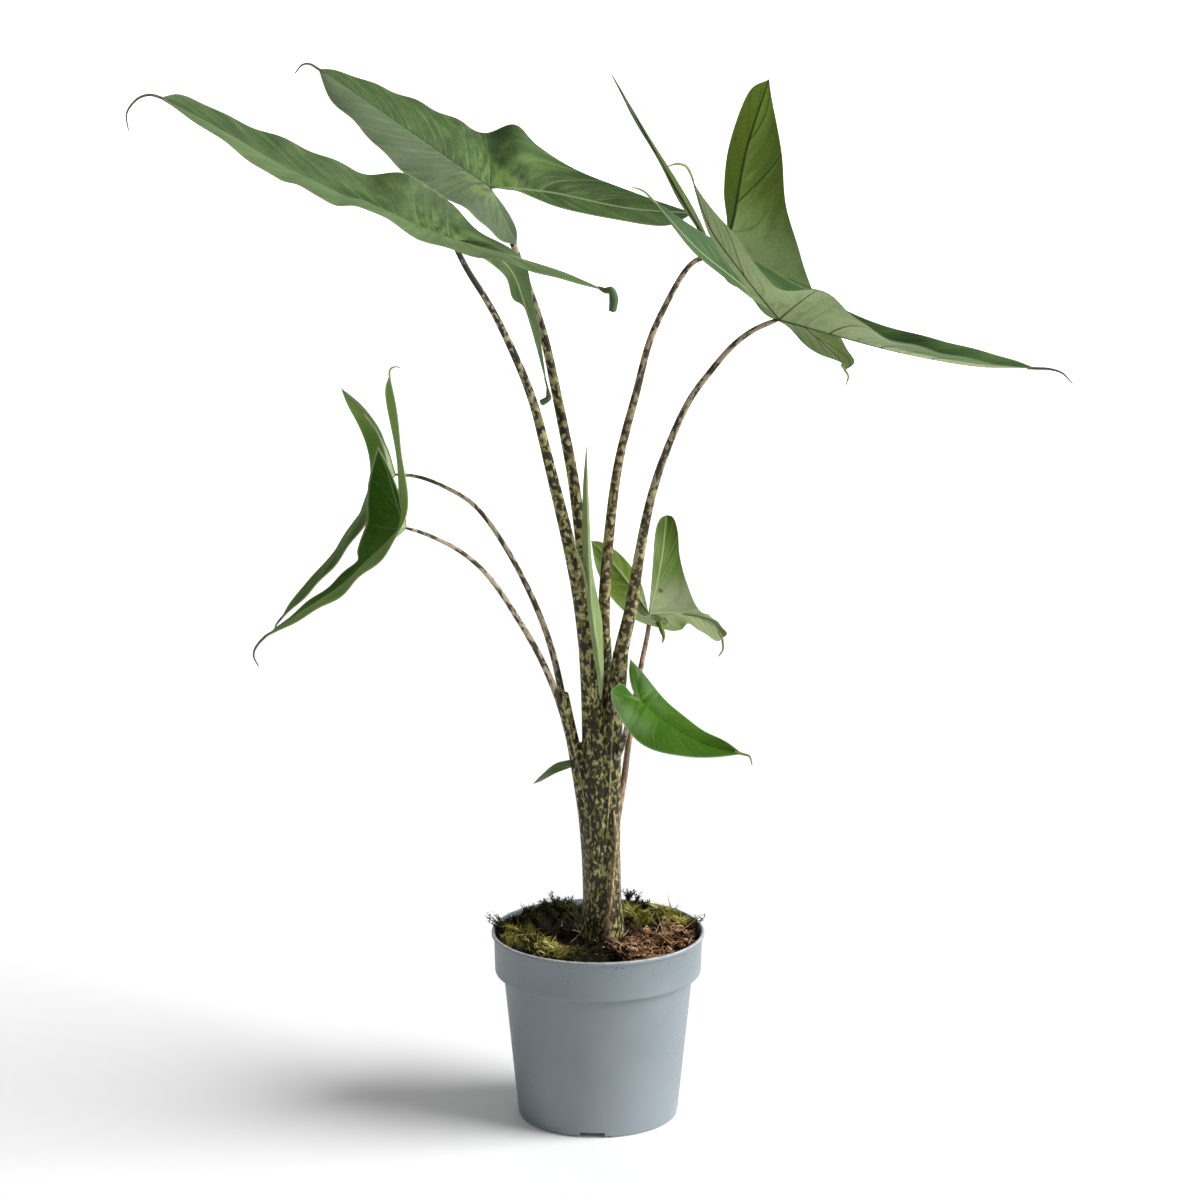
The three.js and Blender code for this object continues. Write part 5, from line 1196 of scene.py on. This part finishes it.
def leaf_material(name, look, side, share):
    """Skin of one side of a blade: cloudy green with streaks along the veins, veins where the
    vein mark is near a whole number, a line along the rib, a fine net, and a pale rim. Share is
    where the stalk meets the blade along the spine."""
    material = started(name + "_" + side)
    place = object_place()
    vein, rib, edge, along, near, inside = map(mark, ("vein", "rib", "edge", "along", "near", "inside"))
    from_stalk = work("ABSOLUTE", along - share)
    cloud = noise(place, 16, 4)
    fan = node("ShaderNodeCombineXYZ", {0: vein * 5.0, 1: rib * 0.05, 2: near})
    streak = node("ShaderNodeTexNoise", {"Vector": fan, "Scale": 1.0, "Detail": 3.0})
    glow = srgb(look["glow"][0])
    if side == "upper":
        colour = mixed(ramp(cloud, 0.36, 0.64), *map(srgb, look["upper"]))
        if look["back"]:
            behind = ramp(along, share - 0.05, share + look["reach"], 0, 0.9)
            colour = mixed(behind, colour, srgb(look["back"]))
        # Near-half colour: on the two upper-left blades it is a painted grey-green sheen.
        colour = mixed(near * look["near"][1], colour, srgb(look["near"][0]))
        by_stalk = ramp(from_stalk, 0.14, 0.0) * ramp(rib, 55, 10)
        colour = mixed(by_stalk * ramp(streak, 0.35, 0.6, 0, 0.6), colour, glow)
        rib_colour = mixed(ramp(along, share, share + 0.03), *map(srgb, look["ribs"][:2]))
        vein_colour, strength = srgb("8b9f72"), look["lines"][0]
    else:
        pale = srgb(look["under"])
        colour = mixed(ramp(cloud, 0.3, 0.7), (*(0.8 * c for c in pale[:3]), 1), pale)
        for part, part_share in (
                ("far", 1.0 - near),
                ("front", ramp(along, share - 0.02, share - 0.2)),
                # Inside colour: painted light on inner strips that face away from the light.
                ("inside", inside * (1.0 - near)),
                ("hub", ramp(from_stalk, 0.16, 0.04, 0, 0.9))):
            if look[part]:
                colour = mixed(part_share, colour, srgb(look[part]))
        # Dark oval patches: painted shadow of the stalk on the blade's underside.
        for centre, radius in look["stalk_shadow_patches"]:
            centre = tuple(c * MM for c in centre)
            gap = node("ShaderNodeVectorMath", {0: place, 1: centre}, "Value", operation="DISTANCE")
            gap = gap + noise(place, 260, 2) * (2 * MM)
            in_stalk_shadow = ramp(gap, (radius + 1.4) * MM, (radius + 0.5) * MM, 0, 0.8)
            colour = mixed(in_stalk_shadow, colour, srgb("2c4410"))
        if look["band"]:
            across = mixed(ramp(rib, 3, 9), *map(srgb, look["band"]))
            colour = mixed(ramp(along, share * 0.7, share * 0.45), colour, across)
        vein_colour, rib_colour, strength = srgb("26330f"), srgb(look["ribs"][2]), look["lines"][1]
    colour = mixed(ramp(streak, 0.5, 0.72, 0, look["glow"][1]), colour, glow)
    dimmed = node("ShaderNodeMix", {0: 1.0, 6: colour, 7: (0.62, 0.68, 0.62, 1)}, 2,
                  data_type="RGBA", blend_type="MULTIPLY")
    colour = mixed(ramp(streak, 0.48, 0.3, 0, 0.6), colour, dimmed)
    width = ramp(rib, 0, 45, 0.026, 0.012)
    calm = ramp(inside, 0, 1, 1, 0.25)
    line, half = (ramp(work("PINGPONG", phase, 0.5) / width, 1.3, 0.5) * calm
                  for phase in (vein, vein + 0.5))
    on_rib = ramp(rib / ramp(from_stalk, 0.0, 0.55, 1.1, 0.4), 1.25, 0.75)
    drift = node("ShaderNodeTexNoise", {"Vector": place, "Scale": 110.0}, "Color")
    drift = node("ShaderNodeVectorMath", {0: drift, 3: 0.004}, operation="SCALE")
    warp = node("ShaderNodeVectorMath", {0: place, 1: drift}, operation="ADD")
    net = node("ShaderNodeTexVoronoi", {"Vector": warp, "Scale": 260.0}, "Distance",
               feature="DISTANCE_TO_EDGE")
    web = ramp(net, 0.09, 0.01)
    for fine_line, line_share in ((web, 0.25 * strength), (half, 0.3 * strength), (line, strength)):
        colour = mixed(fine_line * line_share, colour, vein_colour)
    colour = mixed(on_rib * 0.8, colour, rib_colour)
    margin_colour, margin_width, margin_share = look["margin"]
    rim = ramp(edge, margin_width, 0.3 * margin_width, 0, margin_share)
    colour = mixed(rim, colour, srgb(margin_colour))
    height = noise(place, 900, 2) * 0.4 - (line + web * 0.35)
    if side == "under":
        height = height * -1.0
    finished(colour, ramp(cloud, 0.2, 0.8, *look["rough"]), look["gloss"], height, 0.00022)
    return material


drip_looks = {}
for kind, first_colour, second_colour in (("dry", "3f3e2f", "6f6c55"), ("green", "5d7032", "8b9658")):
    drip_looks[kind] = started(kind + "_drip_tip")
    finished(mixed(noise(object_place(), 400), srgb(first_colour), srgb(second_colour)), 0.6)

for leaf in LEAVES:
    look = LOOKS[leaf["name"]]
    halves = [half for half in HALVES if half["leaf"] == leaf["name"]]
    front_rows = leaf["rows"] * FINENESS
    back_rows = round(leaf["rows"] / 2) * FINENESS
    front_veins, back_veins = look["veins"]
    front_share = front_rows / (front_rows + back_rows)
    stalk_end, drip_start = leaf["midrib"][0], leaf["midrib"][-1]
    midrib = spaced(leaf["midrib"][::-1], front_rows)

    def blade_phase(s, v):
        """Vein count along the spine, drawn towards the leaf's tip in front of the stalk and
        towards the lobe's tip behind it."""
        front = 1 - s / front_share
        back = (s - front_share) / (1 - front_share)
        front_phase = front_veins * front - 0.22 * front_veins * v ** 1.2 * smooth(front / 0.6)
        back_phase = -back_veins * back + 0.35 * back_veins * v ** 0.9 * smooth(back / 0.45)
        return np.where(front >= 0, front_phase, back_phase)

    def inner_phase(s, v):
        """Vein count along the lobe's rib, drawn towards its tip."""
        return -back_veins * s + 0.25 * back_veins * v * smooth(s / 0.7)

    pieces = []
    for number, half in enumerate(halves):
        rim = [drip_start] + half["outer"] + [half["tip"]]
        costa = spaced([stalk_end] + half["costa"] + [half["tip"]], back_rows)
        inner = spaced([stalk_end] + half["inner"] + [half["tip"]], back_rows)
        front_rim = spaced(rim, front_rows, 0, half["shoulder"])
        back_rim = spaced(rim, back_rows, half["shoulder"])
        spine = np.concatenate([midrib, costa[1:]])
        edge = np.concatenate([front_rim, back_rim[1:]])
        facing = -facing if number else facing_of(midrib, front_rim, leaf["upper"])
        near = 1.0 - number
        pieces.append(strip(spine, edge, COLUMNS, facing, half["bulge"], leaf["wave"], leaf["waves"],
                            blade_phase, near))
        pieces.append(strip(costa, inner, LOBE_COLUMNS, -facing, 0, 0, 0, inner_phase, near))
        pieces[-1][2][:, 3] = front_share + (1 - front_share) * pieces[-1][2][:, 3]
        pieces[-1][2][:, 5] = 1
    corners = np.concatenate([p[0] for p in pieces])
    shift = np.cumsum([0] + [len(p[0]) for p in pieces])
    faces = np.concatenate([p[1] + start for p, start in zip(pieces, shift)])
    marks = np.concatenate([p[2] for p in pieces])
    face_marks = marks[faces.ravel()].reshape(-1, 3, 6)
    joined, joined_faces, first, whole = welded(corners, faces)
    face_marks = face_marks[whole]
    nearest = np.full(len(joined), 1e3)
    np.minimum.at(nearest, joined_faces.ravel(), face_marks[..., 1].ravel())
    share = np.zeros(len(joined))
    np.maximum.at(share, joined_faces.ravel(), face_marks[..., 3].ravel())
    height = np.where(share < front_share, share / front_share, (1 - share) / (1 - front_share))
    rib = RIB_HEIGHT * np.clip(height, 0, 1) * np.exp(-(nearest / RIB_WIDTH) ** 2)
    closed, closed_faces, kinds = thickened(joined, joined_faces, rib)
    n = len(joined)
    top_marks = face_marks.reshape(-1, 6)
    bottom_marks = face_marks[:, ::-1].reshape(-1, 6)
    wall_faces = closed_faces[kinds == 2] % n
    corner_marks = np.zeros((n, 6))
    corner_marks[joined_faces.ravel()] = top_marks
    fields = np.concatenate([top_marks, bottom_marks, corner_marks[wall_faces.ravel()]])
    blade_marks = dict(zip(("vein", "rib", "edge", "along", "near", "inside"), fields.T))
    parts = [(closed, closed_faces, np.where(kinds == 1, 1, 0), blade_marks)]
    for half in halves:
        ends = [([half["costa"][-1], half["tip"]], half["curl"])] if "curl" in half else []
        if "spur" in half:
            ends.append(([half["spur"]["root"], half["spur"]["path"][0]], half["spur"]))
        for rib_end, curl in ends:
            corners, faces, _ = curled_end(rib_end, curl)
            end_marks = {mark_name: np.full(faces.size, value) for mark_name, value in END_MARKS.items()}
            parts.append((corners, faces, 1, end_marks))
    corners, faces, _ = curled_end(leaf["midrib"][-2:], dict(path=leaf["drip"], radii=DRIP_RADII))
    parts.append((corners, faces, 3, {}))
    number = [stalk["leaf"] for stalk in STALKS].index(leaf["name"])
    stalk = STALKS[number]
    path, radii, start = stalk_stretch(stalk, 0, stalk["neck"])
    swell = np.clip(np.arange(len(path)) / (len(path) - 1) * stalk["neck"] * 2, 0, 1) ** 0.5
    radii = 0.8 + (radii - 0.8) * np.maximum(swell, 0.05)
    corners, faces, bark_marks = tube(path, radii, STALK_SIDES, start, number, DARKER[number], PINK[number])
    parts.append((corners, faces, 2, bark_marks))
    corners, faces, slots, marks = gathered(parts)
    materials = [leaf_material(leaf["name"], look, side, front_share) for side in ("upper", "under")]
    materials += [stalk_skin, drip_looks[look["drip"]]]
    name = leaf["name"].replace("leaf", "blade")
    piece = put_mesh(name, corners, faces, materials, slots, marks, crease=BLADE_CREASE)
    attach(piece, "root")
    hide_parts(leaf["name"])

# Young leaf and scale. A narrow new leaf still stands rolled up between the stalks, and a small
# leaf-like scale sticks out of the stem's left side. Both are thin fleshy sheets.

NARROW_LEAVES = [
    dict(name="young_leaf", upper=[0.3, -1, 0],
         left=[[0, -13, 385], [0, -19, 402], [-4, -22, 430], [-9, -24, 470], [-13, -25, 515],
               [-13, -26, 570], [-10, -27, 613]],
         middle=[[1, -14, 385], [2, -20, 402], [0, -27, 430], [-5, -31, 465], [-8, -32, 515],
                 [-9.5, -31, 570], [-10, -27, 613]],
         right=[[3, -14, 385], [4.5, -20, 402], [4.5, -21, 425], [3, -23, 460], [-5, -26, 505],
                [-8, -27, 560], [-10, -27, 613]],
         flap=dict(left=[[-7, -26, 455], [-9, -27, 480], [-14, -29, 505], [-22, -28, 529]],
                   middle=[[-6, -27, 455], [-7, -29, 480], [-12, -30, 505], [-22, -28, 529]],
                   right=[[-4, -27, 455], [-5, -28, 480], [-11, -28, 505], [-22, -28, 529]])),
    dict(name="scale_leaf", upper=[0, -0.6, 1],
         left=[[-24, -8, 322], [-38, -10, 317], [-50, -13, 311], [-57, -15, 309]],
         middle=[[-22, -8, 326], [-38, -8, 320], [-50, -12, 314], [-57, -15, 309]],
         right=[[-22, -6, 329], [-37, -5, 325], [-48, -9, 317], [-57, -15, 309]]),
]
NARROW_ROWS = 120
NARROW_COLUMNS = 10

narrow_looks = {}
for name, first_colour, second_colour, vein_colour in (
        ("young_leaf", "70844a", "8ca063", "b2be8e"), ("scale_leaf", "4a6a2a", "6b8048", "97a683")):
    narrow_looks[name] = started(name + "_skin")
    place = object_place()
    stripe = noise(place, 420, 2, stretch=(1, 1, 0.06) if name == "young_leaf" else (0.06, 1, 1))
    colour = mixed(noise(place, 30), srgb(first_colour), srgb(second_colour))
    colour = mixed(ramp(stripe, 0.5, 0.65, 0, 0.4), colour, srgb(vein_colour))
    pale_tip = ramp(axes(place)[0], -0.036, -0.05, 0, 0.8 if name == "scale_leaf" else 0)
    finished(mixed(pale_tip, colour, srgb("8d977f")), 0.42, 0.5, stripe, 0.0002)

for leaf in NARROW_LEAVES:
    parts = []
    for blade in [leaf] + ([leaf["flap"]] if "flap" in leaf else []):
        spine = spaced(blade["middle"], NARROW_ROWS)
        sheets = []
        for side in ("left", "right"):
            edge = spaced(blade[side], NARROW_ROWS)
            sheets.append(strip(spine, edge, NARROW_COLUMNS, facing_of(spine, edge, leaf["upper"]),
                                0, 0, 0, lambda s, v: 0 * s + 0 * v))
        corners = np.concatenate([s[0] for s in sheets])
        faces = np.concatenate([sheets[0][1], sheets[1][1] + len(sheets[0][0])])
        corners, faces, _, _ = welded(corners, faces)
        closed, closed_faces, _ = thickened(corners, faces, np.zeros(len(corners)))
        parts.append((closed, closed_faces, 0, {}))
    corners, faces, slots, _ = gathered(parts)
    skins = [narrow_looks[leaf["name"]]]
    piece = put_mesh(leaf["name"] + "_blade", corners, faces, skins, slots, crease=BLADE_CREASE)
    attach(piece, "root")
    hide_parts(leaf["name"])

# Floor, light and camera. A pale seamless studio floor, a large soft light from the upper right
# and front, and a long lens at the height of the leaves, tilted a little down.

FLOOR_FRONT = -2.6
FLOOR_BACK = 5.0
FLOOR_TOP = 2.6
FLOOR_SIDE = 2.4
FLOOR_BEND = 1.5
WORLD_POWER = 0.25
KEY_POWER = 4.9
KEY_DIRECTION = (-0.853, 0.15, -0.5)
CAMERA_PLACE = (0, -3.0292, 1.1409)
CAMERA_TILT = 0.2175

paper = started("studio_paper")
depth = axes(object_place())[1]
feed(tree.nodes["Principled BSDF"], {
    "Base Color": (0.95, 0.95, 0.95, 1), "Roughness": 0.95, "Emission Color": (1, 1, 1, 1),
    "Emission Strength": ramp(depth, 0.6, 4.2, 0.02, 0.72)})
turn = np.linspace(0, math.pi / 2, 25)
bend = np.stack([np.sin(turn), 1 - np.cos(turn)], -1) * FLOOR_BEND + [FLOOR_BACK - FLOOR_BEND, 0]
run = np.concatenate([[[FLOOR_FRONT, 0.0]], bend, [[FLOOR_BACK, FLOOR_TOP]]])
across = np.array([-FLOOR_SIDE, FLOOR_SIDE])
grid = np.stack([across[None] + 0 * run[:, :1], run[:, :1] + 0 * across, run[:, 1:] + 0 * across], -1)
floor = put_mesh("studio_floor", grid.reshape(-1, 3) / MM, grid_faces(len(run), 2)[:, ::-1], [paper])

world = bpy.data.worlds.new("studio")
world.use_nodes = True
world.node_tree.nodes["Background"].inputs[0].default_value = (1, 1, 1, 1)
world.node_tree.nodes["Background"].inputs[1].default_value = WORLD_POWER
bpy.context.scene.world = world

key = bpy.data.lights.new("key", "SUN")
key.energy = KEY_POWER
key.angle = math.radians(45)
key_object = bpy.data.objects.new("key", key)
bpy.context.scene.collection.objects.link(key_object)
key_object.rotation_euler = Vector(KEY_DIRECTION).to_track_quat("-Z", "Y").to_euler()

camera = bpy.data.cameras.new("camera")
camera.lens = 106.39
camera.sensor_width = 36
camera.shift_x = 2 / 1200
camera.clip_end = 50
camera_object = bpy.data.objects.new("camera", camera)
camera_object.location = CAMERA_PLACE
camera_object.rotation_euler = (math.pi / 2 - CAMERA_TILT, 0, 0)
bpy.context.scene.collection.objects.link(camera_object)
bpy.context.scene.camera = camera_object
bpy.context.scene.view_settings.view_transform = "Standard"
